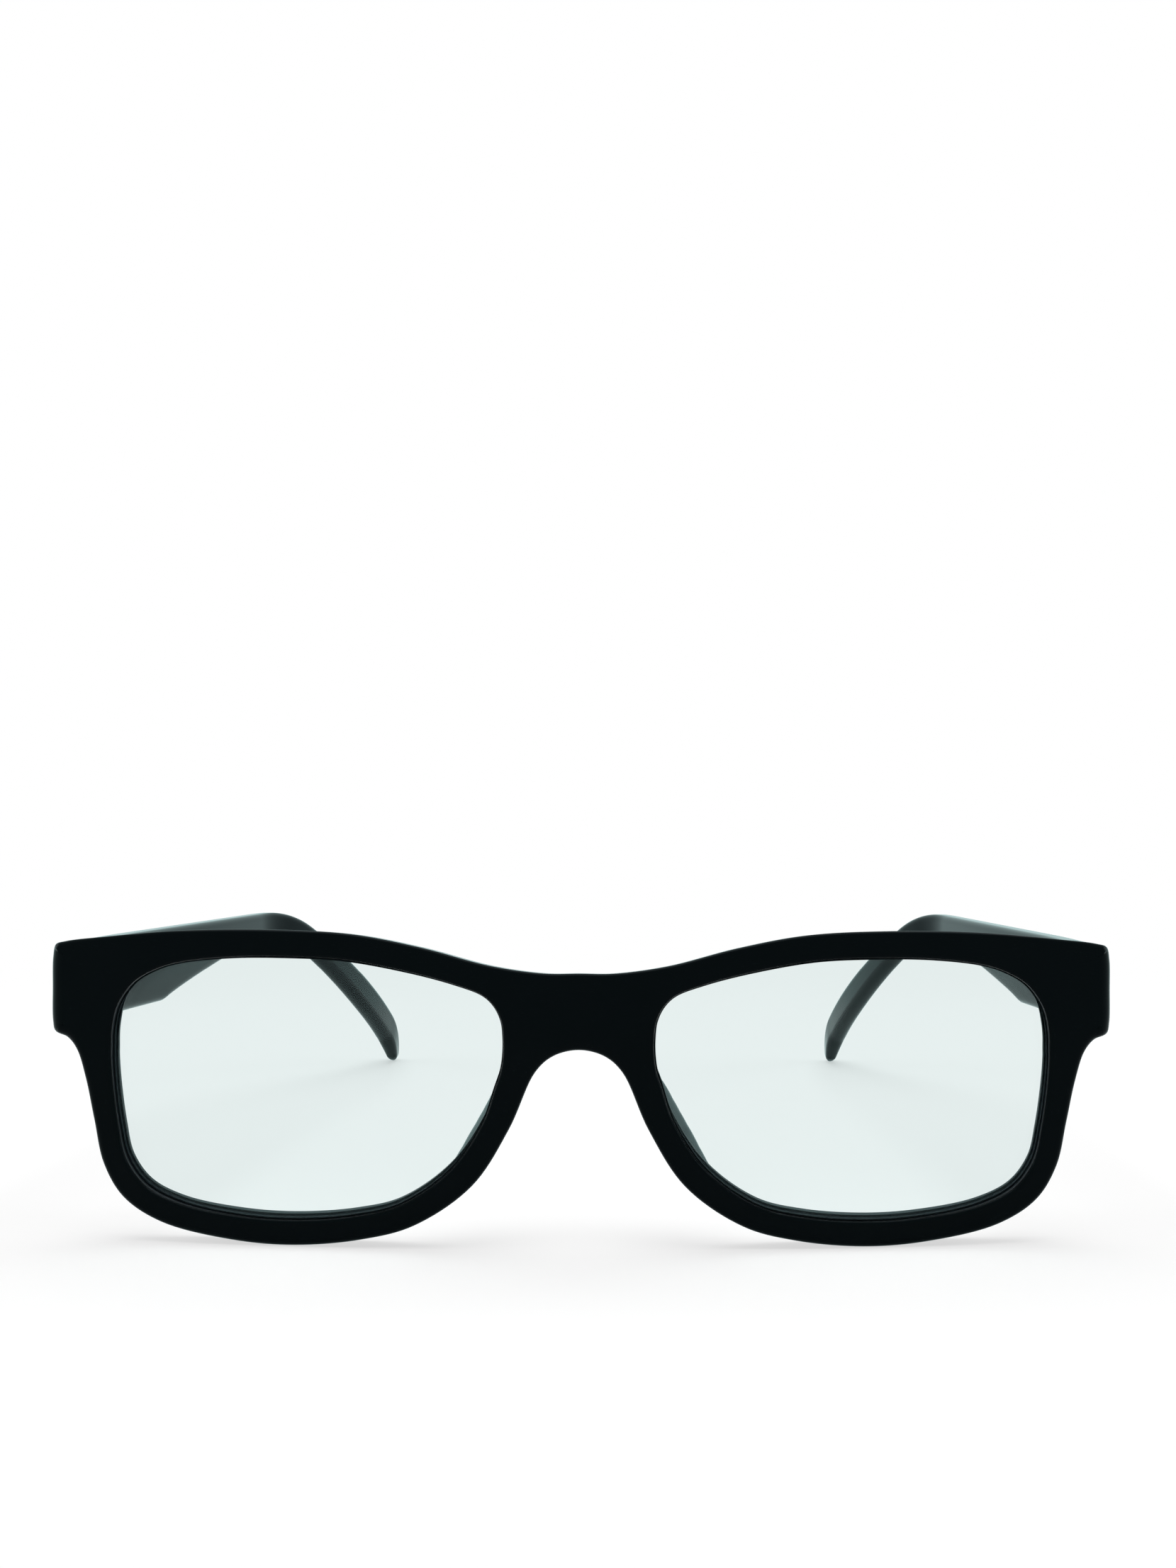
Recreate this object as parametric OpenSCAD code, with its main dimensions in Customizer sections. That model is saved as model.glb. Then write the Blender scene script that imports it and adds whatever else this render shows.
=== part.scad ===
// Rectangular plastic eyeglass frame with clear lenses and two folding temples.
// X runs across the face, Y from the front to the ear tips and Z up, in millimetres.
// The frame stands as it rests on a table, on its two rims and its two ear tips.
// Left and right are the wearer's: the left side lies at positive X.

/* [Front] */
// Radius of the bow of the front, seen from above
front_bow_r = 450; // [380:10:700]
// Thickness of the rims and the bridge
front_t = 4; // [3.8:0.1:4.6]
// Depth of the end pieces, from their front face to the temple
end_t = 7; // [6.6:0.1:8]
// Height of the end pieces
end_h = 11.2; // [10.8:0.1:12]
// Height of the middle of the end pieces above the table
end_z = 32.8; // [32:0.1:33.4]
// Rounding of the outer edges at the front
edge_r = 0.9; // [0.4:0.1:1.1]
// Rounding of the outer edges at the back
back_edge_r = 0.6; // [0.3:0.1:0.9]
// Bevel round the eye openings
eye_bevel = 0.4; // [0.2:0.05:0.6]

/* [Eye openings] */
// Width of each eye opening
eye_w = 51.8; // [50.8:0.2:52.2]
// Height of each eye opening
eye_h = 34; // [33:0.2:34.6]
// Distance between the two eye openings
bridge_gap = 19.4; // [18.4:0.2:20.4]
// Height of the rim below the eye opening
rim_low = 3.4; // [3:0.1:4]
// Height of the rim above the eye opening
rim_top = 3.2; // [2.8:0.1:3.8]
// Width of the rim beside the eye opening
rim_side = 3.9; // [3.4:0.1:4.2]
// Width of plastic between the lens groove and the hinge leaf
leaf_wall = 0.1; // [0.05:0.05:1]
// Height of the underside of the bridge above the table
arch_z = 25.6; // [24.6:0.1:26.6]
// Height of the bridge from its underside to its top
bridge_h = 9.6; // [8.5:0.05:10.5]

/* [Lenses] */
// Radius of the lens surfaces, which sets how much the lens domes
lens_r = 150; // [130:5:260]
// Thickness of the lens
lens_t = 2; // [1.6:0.1:2.4]
// Depth of the lens groove in the rim
groove_d = 0.8; // [0.5:0.05:1]
// Width of the lens groove
groove_w = 1.1; // [0.9:0.05:1.4]
// Play of the lens edge in its groove
lens_play = 0.08; // [0.04:0.02:0.16]

/* [Temples] */
// Thickness of the temple at the hinge
temple_t = 3.8; // [3.4:0.1:4]
// Height of the temple at the hinge
temple_h = 11; // [10:0.1:11]
// Length of the straight part, from the hinge end to the ear bend
temple_straight = 77; // [70:1:84]
// Thickness of the temple behind the ear bend
ear_t = 3.4; // [3:0.1:4]
// Height of the temple where it is slimmest, before the ear bend
waist_h = 4.4; // [4:0.1:5.4]
// Height of the broadest place behind the ear bend
paddle_h = 6.4; // [5.6:0.1:7.4]
// Slope of the straight part in degrees, down to the back
temple_drop = 1.8; // [1:0.1:3]
// Angle below the level where the ear bend ends, in degrees
ear_angle = 30; // [28:1:34]
// Radius of the ear bend along the top edge
ear_bend_r = 28; // [24:1:36]
// Radius of the long gentle curve from the ear bend to the tip
ear_curve_r = 580; // [400:20:900]
// Radius of the tip's own curve down to the table
tip_curve_r = 13.5; // [12:0.5:18]
// Thickness of the temple where its tip ends
tip_t = 1.7; // [1.5:0.1:2.2]
// Height of the temple where its tip ends
tip_h = 3.2; // [2.6:0.1:4]
// How far the straight part runs inwards by the ear bend
temple_converge = 5.1; // [4:0.1:6]
// How far the ear tip lies further in than the bend
ear_inset = 15.6; // [13:0.2:17]
// Gap between the end piece and the temple
butt_gap = 0.1; // [0.06:0.02:0.2]

/* [Hinges] */
// Distance from the temple's inner face to the hinge axis
pin_inset = 1.7; // [1.6:0.05:2]
// How far the front hinge leaf reaches inwards past its knuckles
leaf_margin = 0.6; // [0.4:0.1:1]
// Outer diameter of the hinge knuckles
knuckle_d = 2.6; // [2.2:0.1:2.8]
// Diameter of the hinge screw
pin_d = 1.4; // [1.2:0.05:1.6]
// Running clearance all round the hinge screw
pin_play = 0.03; // [0.02:0.01:0.06]
// Height of each front knuckle
front_knuckle_h = 1.3; // [1:0.05:1.5]
// Height of the temple knuckle
temple_knuckle_h = 1.8; // [1.5:0.05:2]
// Clearance between knuckles
knuckle_gap = 0.05; // [0.04:0.01:0.1]
// Thickness of the hinge leaves
leaf_t = 0.9; // [0.8:0.05:1]
// Height of the front hinge leaf
front_leaf_h = 8.8; // [8.4:0.1:9]
// Height of the temple hinge leaf
temple_leaf_h = 6; // [5.6:0.1:6.6]
// Length of the temple hinge leaf
temple_leaf_l = 10; // [9:0.5:13]
// Clearance of each leaf in its pocket
leaf_play = 0.05; // [0.03:0.01:0.08]
// Diameter of the leaf screws
leaf_screw_d = 1.2; // [1:0.05:1.3]
// Length of the leaf screws below their heads
leaf_screw_l = 2.9; // [2.5:0.1:3]
// Height of the screw heads
head_h = 0.5; // [0.4:0.05:0.6]
// Diameter of the leaf screw heads
head_d = 2; // [1.8:0.1:2.2]

/* [Nose pads] */
// How far the nose pads stand out behind the rims
pad_depth = 5.4; // [4.5:0.1:6]
// Thickness of the nose pads
pad_t = 1.9; // [1.7:0.1:2.4]
// How far the back of each nose pad flares away from the nose
pad_flare = 1.3; // [0.8:0.1:2]
// Gap of the glue line under the nose pads
glue_gap = 0.05; // [0.03:0.01:0.1]

/* [Temple core] */
// Diameter of the wire inside each temple
core_d = 1.3; // [1:0.05:1.4]
// Distance of the wire's end from the ear tip
core_end = 9; // [7:1:16]
// Clearance round the wire
core_play = 0.03; // [0.02:0.01:0.05]

/* [Hidden] */

$fn = 48;
black = [0.035, 0.04, 0.045];
clear = [0.85, 0.9, 0.9, 0.35];
steel = [0.72, 0.73, 0.74];

// Stations between two rows of the rim outline
rim_steps = 3;
// Places across the face, built outwards: eye opening, groove, hinge leaf, knuckles and temple
knuckle_r = knuckle_d / 2;
leaf_x0 = bridge_gap / 2 + eye_w + groove_d + leaf_wall;
leaf_x1 = leaf_x0 + leaf_margin + knuckle_d;
pin_x = leaf_x1 - knuckle_r;
face_x = pin_x + pin_inset;
end_x = face_x + temple_t;
end_top = end_z + end_h / 2;
end_low = end_z - end_h / 2;
bridge_top = arch_z + bridge_h;
eye_top = rim_low + eye_h;
// Width of the wall that each end piece turns back to meet its temple
return_w = temple_t + 0.1;
// Rounding of the back corners of that wall, and the slope of its inner side
return_r = 0.15;

// Small helpers
function lerp(a, b, t) = a + (b - a) * t;
function smooth(t) = let(c = min(1, max(0, t))) c * c * (3 - 2 * c);
function unit(v) = v / norm(v);
function bow(x) = front_bow_r - sqrt(front_bow_r * front_bow_r - x * x);

// A point on the curve through b and c, with a and d as its neighbours
function curve(a, b, c, d, t) =
    let(k1 = sqrt(norm(b - a)), k2 = k1 + sqrt(norm(c - b)), k3 = k2 + sqrt(norm(d - c)),
        k = lerp(k1, k2, t),
        p1 = lerp(a, b, k / k1),
        p2 = lerp(b, c, (k - k1) / (k2 - k1)),
        p3 = lerp(c, d, (k - k2) / (k3 - k2)),
        q1 = lerp(p1, p2, k / k2),
        q2 = lerp(p2, p3, (k - k1) / (k3 - k1)))
    lerp(q1, q2, (k - k1) / (k2 - k1));

// Eye opening in fractions of its width and height
function eye_x(u) = bridge_gap / 2 + u * eye_w;
function eye_z(v) = rim_low + v * eye_h;

// The rim, row by row round one eye: from the bridge's underside down the nose, along the
// bottom, up past the end piece and back along the brow. Each row pairs a point on the eye
// opening, in fractions, with a point on the outer outline and how much it is end piece.
rim_rows = [
    [0.00, 0.64, 0, arch_z, 0],
    [0.005, 0.58, 0.34 * bridge_gap / 2, arch_z - 0.8, 0],
    [0.02, 0.51, 0.58 * bridge_gap / 2, arch_z - 2.9, 0],
    [0.05, 0.38, eye_x(0.05) - 3.3, eye_z(0.38) - 1, 0],
    [0.13, 0.20, eye_x(0.13) - 2.7, eye_z(0.20) - 2.2, 0],
    [0.255, 0.065, eye_x(0.255) - 1.7, eye_z(0.065) - rim_low + 0.6, 0],
    [0.37, 0.02, eye_x(0.37) - 0.8, 0.9, 0],
    [0.52, 0.00, eye_x(0.52) + 0.2, 0, 0],
    [0.66, 0.008, eye_x(0.66) + 1.2, 0.45, 0],
    [0.82, 0.05, eye_x(0.82) + 2.6, eye_z(0.05) - 2.6, 0],
    [0.91, 0.115, eye_x(0.91) + 3.1, eye_z(0.115) - 1.7, 0],
    [0.96, 0.215, eye_x(0.96) + 3.2, eye_z(0.215) - 0.8, 0],
    [0.98, 0.34, eye_x(0.98) + rim_side - 0.4, eye_z(0.34) + 0.7, 0],
    [0.995, 0.50, eye_x(0.995) + rim_side, eye_z(0.50) + 0.6, 0],
    [1.00, 0.60, end_x - 3.4, end_low - 2.4, 0],
    [1.00, 0.64, end_x - 2.1, end_low - 0.9, 0.6],
    [1.00, 0.68, end_x - 0.4, end_low - 0.15, 1],
    [0.998, 0.72, end_x - 0.06, end_low + 1.2, 1],
    [0.99, 0.78, end_x, end_z, 1],
    [0.975, 0.83, end_x - 0.06, end_top - 1.6, 1],
    [0.94, 0.895, end_x - 0.4, end_top - 0.2, 1],
    [0.89, 0.94, end_x - 1.9, end_top + 0.3, 0.8],
    [0.83, 0.97, end_x - 7, end_top + 0.95, 0],
    [0.70, 0.995, eye_x(0.70) + 6, eye_top + rim_top - 0.25, 0],
    [0.55, 1.00, eye_x(0.55) + 2, eye_top + rim_top, 0],
    [0.40, 0.99, eye_x(0.40) - 1, eye_top + rim_top - 0.5, 0],
    [0.235, 0.946, eye_x(0.235) - 1.5, eye_top + rim_top - 2.15, 0],
    [0.121, 0.9, eye_x(0.12) - 4.5, bridge_top + 0.95, 0],
    [0.052, 0.859, 0.46 * bridge_gap / 2, bridge_top, 0],
    [0.023, 0.817, 0, bridge_top, 0],
    [0.005, 0.76, 0, lerp(arch_z, bridge_top, 0.67), 0],
    [0.00, 0.70, 0, lerp(arch_z, bridge_top, 0.33), 0]];
rows = len(rim_rows);
// The last row before the two that lie on the middle of the bridge
last_row = rows - 3;
stations = rows * rim_steps;
open_stations = last_row * rim_steps;

function eye_row(i) = let(r = rim_rows[(i + rows) % rows]) [eye_x(r[0]), eye_z(r[1])];
function outer_row(i) =
    i < 0 ? [-rim_rows[1][2], rim_rows[1][3]]
    : i > last_row ? [-rim_rows[last_row - 1][2], rim_rows[last_row - 1][3]]
    : [rim_rows[i][2], rim_rows[i][3]];

function eye_point(k) = let(i = floor(k / rim_steps), t = (k % rim_steps) / rim_steps)
    curve(eye_row(i - 1), eye_row(i), eye_row(i + 1), eye_row(i + 2), t);
function middle_z(k) = let(t = (k - open_stations) / (stations - open_stations))
    lerp(bridge_top, arch_z, t);
function outer_point(k) = k >= open_stations ? [0, middle_z(k)]
    : let(i = floor(k / rim_steps), t = (k % rim_steps) / rim_steps)
        curve(outer_row(i - 1), outer_row(i), outer_row(i + 1), outer_row(i + 2), t);
function end_share(k) = let(i = floor(k / rim_steps), t = (k % rim_steps) / rim_steps)
    lerp(rim_rows[i][4], rim_rows[(i + 1) % rows][4], t);

eye_line = [for (k = [0 : stations - 1]) eye_point(k)];
outer_line = [for (k = [0 : stations - 1]) outer_point(k)];

// Directions that point into the rim from the eye opening, and out of the outer outline
function eye_normal(k) = let(t = eye_line[(k + 1) % stations] - eye_line[(k + stations - 1) % stations])
    unit([t[1], -t[0]]);
function outer_normal(k) =
    k == 0 ? [0, -1]
    : k == open_stations ? [0, 1]
    : let(t = outer_line[k + 1] - outer_line[k - 1]) unit([t[1], -t[0]]);

// The lens dome: its middle surface leans with the bow and passes behind the front face
eye_mid = [eye_x(0.5), eye_z(0.5)];
dome_lean = asin(eye_mid[0] / front_bow_r);
dome_set = 0.5;
dome_x = eye_mid[0] - lens_r * sin(dome_lean);
dome_y = bow(eye_mid[0]) + dome_set + lens_r * cos(dome_lean);
function dome(p) = dome_y
    - sqrt(pow(lens_r, 2) - pow(p[0] - dome_x, 2) - pow(p[1] - eye_mid[1], 2));

// A point of the front, from a place in the XZ plane and its depth behind the front face
function at(p, depth) = [p[0], bow(p[0]) + depth, p[1]];
function on_dome(p, shift) = [p[0], dome(p) + shift, p[1]];

// Share of the radius that the middle of a rounded corner lies in from each side
soft = 1 - sin(45);

// One section of the rim, from the front bevel of the eye opening over the front, round the
// outer edge, back to the eye opening and through the lens groove. Where the rim is narrow the
// wall and its slope keep to shares of the rim's width.
function rim_section(k) =
    let(p = eye_line[k], n = eye_normal(k), q = outer_line[k],
        middle = k > open_stations,
        m = middle ? [0, 0] : outer_normal(k),
        e = end_share(k),
        depth = lerp(front_t, end_t, e),
        rb = lerp(back_edge_r, return_r, e),
        front_in = p + n * eye_bevel,
        back_in = p + n * back_edge_r,
        back_out = q - m * rb,
        way = back_in - back_out,
        wall = min(return_w - rb, 0.4 * norm(way)) / norm(way),
        step = min(return_w - rb + return_r, 0.55 * norm(way)) / norm(way))
    [at(p, eye_bevel), at(front_in, 0),
     at(q - m * edge_r, 0), at(q - m * soft * edge_r, soft * edge_r), at(q, edge_r),
     at(q, depth - rb), at(q - m * soft * rb, depth - soft * rb), at(back_out, depth),
     at(back_out + way * wall, depth), at(back_out + way * step, front_t),
     at(back_in, front_t), at(p, front_t - back_edge_r),
     on_dome(p, groove_w / 2), on_dome(p + n * groove_d, groove_w / 2),
     on_dome(p + n * groove_d, -groove_w / 2), on_dome(p, -groove_w / 2)];
ring = 16;
// Section points from the outer front edge to the back that meet on the middle of the bridge
first_shared = 2;
last_shared = 7;

half_points = [for (k = [0 : stations - 1]) each rim_section(k)];
half_count = stations * ring;

function on_middle(k, j) = (k >= open_stations || k == 0) && j >= first_shared && j <= last_shared;
function vertex(side, k, j) = let(kk = k % stations, jj = j % ring)
    kk * ring + jj + (side == 1 && !on_middle(kk, jj) ? half_count : 0);
function quad(side, k, j) = let(
        a = vertex(side, k, j), b = vertex(side, k + 1, j),
        c = vertex(side, k + 1, j + 1), d = vertex(side, k, j + 1))
    side == 0 ? [[a, b, c], [a, c, d]] : [[a, c, b], [a, d, c]];

module front_blank() {
    polyhedron(
        points = concat(half_points, [for (p = half_points) [-p[0], p[1], p[2]]]),
        faces = [for (side = [0, 1], k = [0 : stations - 1], j = [0 : ring - 1])
            if (!(k >= open_stations && j >= first_shared && j < last_shared))
                each quad(side, k, j)],
        convexity = 6);
}

// Hinge places on the left side
butt_y = bow(end_x) + end_t + butt_gap;
pin_y = butt_y - butt_gap;
stack_h = 2 * front_knuckle_h + temple_knuckle_h + 2 * knuckle_gap;
bore_d = pin_d + 2 * pin_play;
pin_head_h = 0.8;
pin_head_d = 2.2;
// Length of the hinge screw that shows below the last knuckle
pin_end = 0.25;

// How far the front leaf stands proud of the rim
front_rise = 0.1;
leaf_back = bow(pin_x) + front_t + front_rise;
// Plain edge left between a screw head and the edge of its leaf
head_edge = 0.08;
front_screw_x = (leaf_x0 + leaf_x1) / 2;
front_screw_dz = front_leaf_h / 2 - head_d / 2 - head_edge;

// The temple leaf: how far it stands proud of the temple, its start and the arm to its knuckle
temple_rise = 0.05;
temple_leaf_y = butt_y + 1.2;
arm_w = 1.6;
arm_set = 0.3;
screw_from_end = 2.2;
temple_screw_y = temple_leaf_y + temple_leaf_l - screw_from_end;
temple_screw_dz = temple_leaf_h / 2 - head_d / 2 - head_edge;

// The leaf screws' shanks are a little slimmer than their bores in the plastic, and the holes
// in the leaves are wider
shank_d = leaf_screw_d - 0.04;
leaf_hole_d = leaf_screw_d + 0.1;
bore_end = 0.1;
slot_w = 0.24;

module sided(side) {
    mirror([side == "left" ? 0 : 1, 0, 0]) children();
}

// Everything is drawn with the bridge at Y = 0, then set about the middle of its depth
module placed(side = "left") {
    translate([0, -depth_mid, 0]) sided(side) children();
}

// A box between two corners
module block(low, high) {
    translate(low) cube(high - low);
}

module front_leaf_plate(play) {
    grow = [play, play, play];
    block([leaf_x0, leaf_back - leaf_t, end_z - front_leaf_h / 2] - grow,
        [leaf_x1, leaf_back + 2 * play, end_z + front_leaf_h / 2] + grow);
}

module front_leaf_screw_axes() {
    for (dz = [-front_screw_dz, front_screw_dz])
        translate([front_screw_x, leaf_back, end_z + dz]) rotate([90, 0, 0]) children();
}

module temple_leaf_screw_axes() {
    for (dz = [-temple_screw_dz, temple_screw_dz])
        translate([face_x, temple_screw_y, end_z + dz]) rotate([0, 90, 0]) children();
}

module front_frame() {
    color(black) placed() difference() {
        front_blank();
        for (side = ["left", "right"]) sided(side) {
            front_leaf_plate(leaf_play);
            front_leaf_screw_axes() cylinder(d = leaf_screw_d, h = leaf_screw_l + bore_end);
        }
    }
}

// A lens: a domed disc whose edge has a narrow tongue that sits in the groove
dome_fn = 360;
blank_back = 9;
blank_depth = 12;
function lens_edge(grow) = [for (k = [0 : stations - 1]) eye_line[k] + eye_normal(k) * grow];

module dome_shell(edge, thick) {
    intersection() {
        translate([0, bow(eye_mid[0]) + blank_back, 0]) rotate([90, 0, 0])
            linear_extrude(height = blank_depth) polygon(edge);
        translate([dome_x, dome_y, eye_mid[1]]) difference() {
            sphere(r = lens_r + thick / 2, $fn = dome_fn);
            sphere(r = lens_r - thick / 2, $fn = dome_fn);
        }
    }
}

module lens(side) {
    color(clear) placed(side) union() {
        dome_shell(lens_edge(-lens_play), lens_t);
        dome_shell(lens_edge(groove_d - lens_play), groove_w - 2 * lens_play);
    }
}

// The bore for the hinge screw through all the knuckles, and the holes in the leaves
module hinge_bore() {
    translate([pin_x, pin_y, end_z - stack_h]) cylinder(d = bore_d, h = 2 * stack_h);
}

module leaf_hole() {
    translate([0, 0, -leaf_t]) cylinder(d = leaf_hole_d, h = 3 * leaf_t);
}

module front_hinge_leaf(side) {
    color(steel) placed(side) difference() {
        union() {
            front_leaf_plate(0);
            for (z = [-stack_h / 2, stack_h / 2 - front_knuckle_h])
                translate([0, 0, end_z + z]) {
                    translate([pin_x, pin_y, 0]) cylinder(d = knuckle_d, h = front_knuckle_h);
                    block([pin_x - knuckle_r, leaf_back - leaf_t / 2, 0],
                        [pin_x + knuckle_r, pin_y, front_knuckle_h]);
                }
        }
        hinge_bore();
        front_leaf_screw_axes() leaf_hole();
    }
}

module temple_hinge_leaf(side) {
    color(steel) placed(side) difference() {
        union() {
            block([face_x - temple_rise, temple_leaf_y, end_z - temple_leaf_h / 2],
                [face_x + leaf_t, temple_leaf_y + temple_leaf_l, end_z + temple_leaf_h / 2]);
            translate([0, 0, end_z - temple_knuckle_h / 2]) {
                translate([pin_x, pin_y, 0]) cylinder(d = knuckle_d, h = temple_knuckle_h);
                block([pin_x - knuckle_r + arm_set, pin_y, 0],
                    [pin_x + knuckle_r, temple_leaf_y, temple_knuckle_h]);
                block([pin_x - knuckle_r + arm_set, temple_leaf_y, 0],
                    [face_x + leaf_t / 2, temple_leaf_y + arm_w, temple_knuckle_h]);
            }
        }
        hinge_bore();
        temple_leaf_screw_axes() leaf_hole();
    }
}

// A small screw along -Z with its head at the top and a slot across it
module small_screw(d, length, head_dia, head_height) {
    difference() {
        union() {
            translate([0, 0, -length]) cylinder(d = d, h = length);
            cylinder(d = head_dia, h = head_height);
        }
        translate([-head_dia, -slot_w / 2, head_height / 2])
            cube([2 * head_dia, slot_w, head_height]);
    }
}

module leaf_screw() {
    mirror([0, 0, 1]) small_screw(shank_d, leaf_screw_l, head_d, head_h);
}

module front_leaf_screws(side) {
    color(steel) placed(side) front_leaf_screw_axes() leaf_screw();
}

module temple_leaf_screws(side) {
    color(steel) placed(side) translate([-temple_rise, 0, 0]) temple_leaf_screw_axes() leaf_screw();
}

module hinge_screw(side) {
    color(steel) placed(side) translate([pin_x, pin_y, end_z + stack_h / 2 + knuckle_gap])
        small_screw(pin_d, stack_h + knuckle_gap + pin_end, pin_head_d, pin_head_h);
}

// The top edge of the temple seen from the side: a straight run, the ear bend, a long gentle
// curve and the tip's own curve. All places on it are distances s from the hinge end.
hinge_run = temple_leaf_l + 3;
bend_s = temple_straight;
bend_l = ear_bend_r * (ear_angle - temple_drop) * PI / 180;
curve_s = bend_s + bend_l;
tip_run = 13;

// Angle of the top edge below the level
function edge_angle(s, length) = let(tip_s = length - tip_run)
    s < bend_s ? temple_drop
    : s < curve_s ? lerp(temple_drop, ear_angle, (s - bend_s) / bend_l)
    : ear_angle + (min(s, tip_s) - curve_s) / ear_curve_r * 180 / PI
        + max(0, s - tip_s) / tip_curve_r * 180 / PI;
// Lean of the temple's sections: upright at the hinge end, square to the top edge behind it
function lean(s, length) = edge_angle(s, length) * min(1, max(0, s) / hinge_run);
// Way along an arc of radius r between two angles below the level
function arc_way(r, a, b) = r * [sin(b) - sin(a), cos(b) - cos(a)];
bend_start = [butt_y, end_top] + bend_s * [cos(temple_drop), -sin(temple_drop)];
bend_finish = bend_start + arc_way(ear_bend_r, temple_drop, ear_angle);
function edge_point(s, length) = let(a = edge_angle(s, length), b = edge_angle(length - tip_run, length))
    s < bend_s ? [butt_y, end_top] + s * [cos(temple_drop), -sin(temple_drop)]
    : s < curve_s ? bend_start + arc_way(ear_bend_r, temple_drop, a)
    : s < length - tip_run ? bend_finish + arc_way(ear_curve_r, ear_angle, a)
    : bend_finish + arc_way(ear_curve_r, ear_angle, b) + arc_way(tip_curve_r, b, a);

// Height of the temple below its top edge: a deep front part, a corner, the waist, the broad
// part behind the ear. Over its last stretch the temple tapers in height and thickness.
corner_s = 28;
taper_s = 58;
taper_h = 6;
paddle_s = bend_s + 43;
tip_taper = 11.5;
tip_round = 1.6;
function tapered(full, end, s, length) =
    lerp(full, end, pow(max(0, s - length + tip_taper) / tip_taper, 2.4));
function depth_at(s, length) = tapered(
    s < corner_s ? temple_h
    : s < taper_s ? lerp(temple_h, taper_h, pow((s - corner_s) / (taper_s - corner_s), 0.85))
    : s < bend_s ? lerp(taper_h, waist_h, smooth((s - taper_s) / (bend_s - taper_s)))
    : lerp(waist_h, paddle_h, smooth((s - bend_s) / (paddle_s - bend_s))),
    tip_h, s, length);
function thick_at(s, length) = tapered(lerp(temple_t, ear_t, min(1, s / curve_s)), tip_t, s, length);
function tip_share(s, length) = let(t = (s - length + tip_round) / tip_round)
    t <= 0 ? 1 : sqrt(max(0.03, 1 - t * t));

// Distance past a place, with a short soft start
soft_run = 5;
function past(d) = d < -soft_run ? 0 : d > soft_run ? d : pow(d + soft_run, 2) / (4 * soft_run);

// Middle of the temple across its thickness: it runs straight back past the hinge leaf, then
// inwards to the ear bend, and further in behind the ear, less and less towards the tip
ear_run = 67;
ear_ease = 0.84;
function temple_x(s, length) =
    let(a = temple_converge / (bend_s - hinge_run), b = ear_inset / (length - bend_s))
    end_x - temple_t / 2 - a * past(s - hinge_run) - ((1 + ear_ease) * b - a) * past(s - bend_s)
        + ear_ease * b * pow(max(0, s - bend_s), 2) / (length - bend_s);

// Rounded section, 3 points at each corner, as shares of the half thickness and half height
corner_r = 1.1;
function corner_points(w, h, r) = [for (c = [[1, 1, 0], [-1, 1, 90], [-1, -1, 180], [1, -1, 270]],
        a = [0, 45, 90])
    [c[0] * (w - r) + r * cos(c[2] + a), c[1] * (h - r) + r * sin(c[2] + a)]];

function temple_middle(s, length) = let(a = lean(s, length),
        p = edge_point(s, length) - [sin(a), cos(a)] * depth_at(s, length) / 2)
    [temple_x(s, length), p[0], p[1]];
function temple_ring(s, length) = let(a = lean(s, length), k = tip_share(s, length),
        w = thick_at(s, length) / 2 * k, h = depth_at(s, length) / 2 * k,
        m = temple_middle(s, length))
    [for (c = corner_points(w, h, min(corner_r, 0.9 * w)))
        m + [c[0], c[1] * sin(a), c[1] * cos(a)]];

// The ear part is as long as it takes to reach the table, found in a few steps
function lowest(length) = min([for (s = [length - tip_run : 0.25 : length],
    p = temple_ring(s, length)) p[2]]);
function reach(length, tries) = tries == 0 ? length
    : reach(length + lowest(length) / sin(edge_angle(length - tip_run, length)), tries - 1);
temple_l = reach(bend_s + ear_run, 5);
temple_steps = 48;
temple_s = concat([for (i = [0 : temple_steps]) (temple_l - tip_run) * i / temple_steps],
    [for (i = [1 : 8]) temple_l - tip_run + (tip_run - tip_round) * i / 8],
    [for (a = [25, 45, 60, 75, 90]) temple_l - tip_round + tip_round * sin(a)]);
temple_rings = [for (s = temple_s) temple_ring(s, temple_l)];

// The whole part's depth, from the bridge to the ear tips
depth_max = max([for (r = temple_rings, p = r) p[1]]);
depth_mid = depth_max / 2;

// A closed skin over rings of points, each ring counter-clockwise seen from its end
module skin(rings) {
    n = len(rings[0]);
    last = len(rings) - 1;
    polyhedron(
        points = [for (r = rings) each r],
        faces = concat(
            [[for (j = [n - 1 : -1 : 0]) j]],
            [for (i = [0 : last - 1], j = [0 : n - 1]) let(a = i * n + j, b = i * n + (j + 1) % n)
                each [[a, b + n, a + n], [a, b, b + n]]],
            [[for (j = [0 : n - 1]) last * n + j]]),
        convexity = 6);
}

// The wire in the temple, as rings of eight points
core_start = 0.4;
core_steps = 40;
core_stop = temple_l - core_end;
core_s = [for (i = [0 : core_steps]) lerp(core_start, core_stop, i / core_steps)];
function core_ring(s, r) = let(a = lean(s, temple_l), m = temple_middle(s, temple_l))
    [for (t = [0 : 45 : 315]) m + r * [cos(t), sin(t) * sin(a), sin(t) * cos(a)]];
function core_rings(stops, r) = [for (s = stops) core_ring(s, r)];

module temple(side) {
    color(black) placed(side) difference() {
        skin(temple_rings);
        block([face_x - 1, temple_leaf_y - leaf_play, end_z - temple_leaf_h / 2 - leaf_play],
            [face_x + leaf_t + leaf_play, temple_leaf_y + temple_leaf_l + leaf_play,
                end_z + temple_leaf_h / 2 + leaf_play]);
        temple_leaf_screw_axes() cylinder(d = leaf_screw_d, h = leaf_screw_l + bore_end);
        skin(core_rings(concat([-1], core_s, [core_stop + core_play]), core_d / 2 + core_play));
    }
}

module temple_core(side) {
    color(steel) placed(side) skin(core_rings(core_s, core_d / 2));
}

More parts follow.
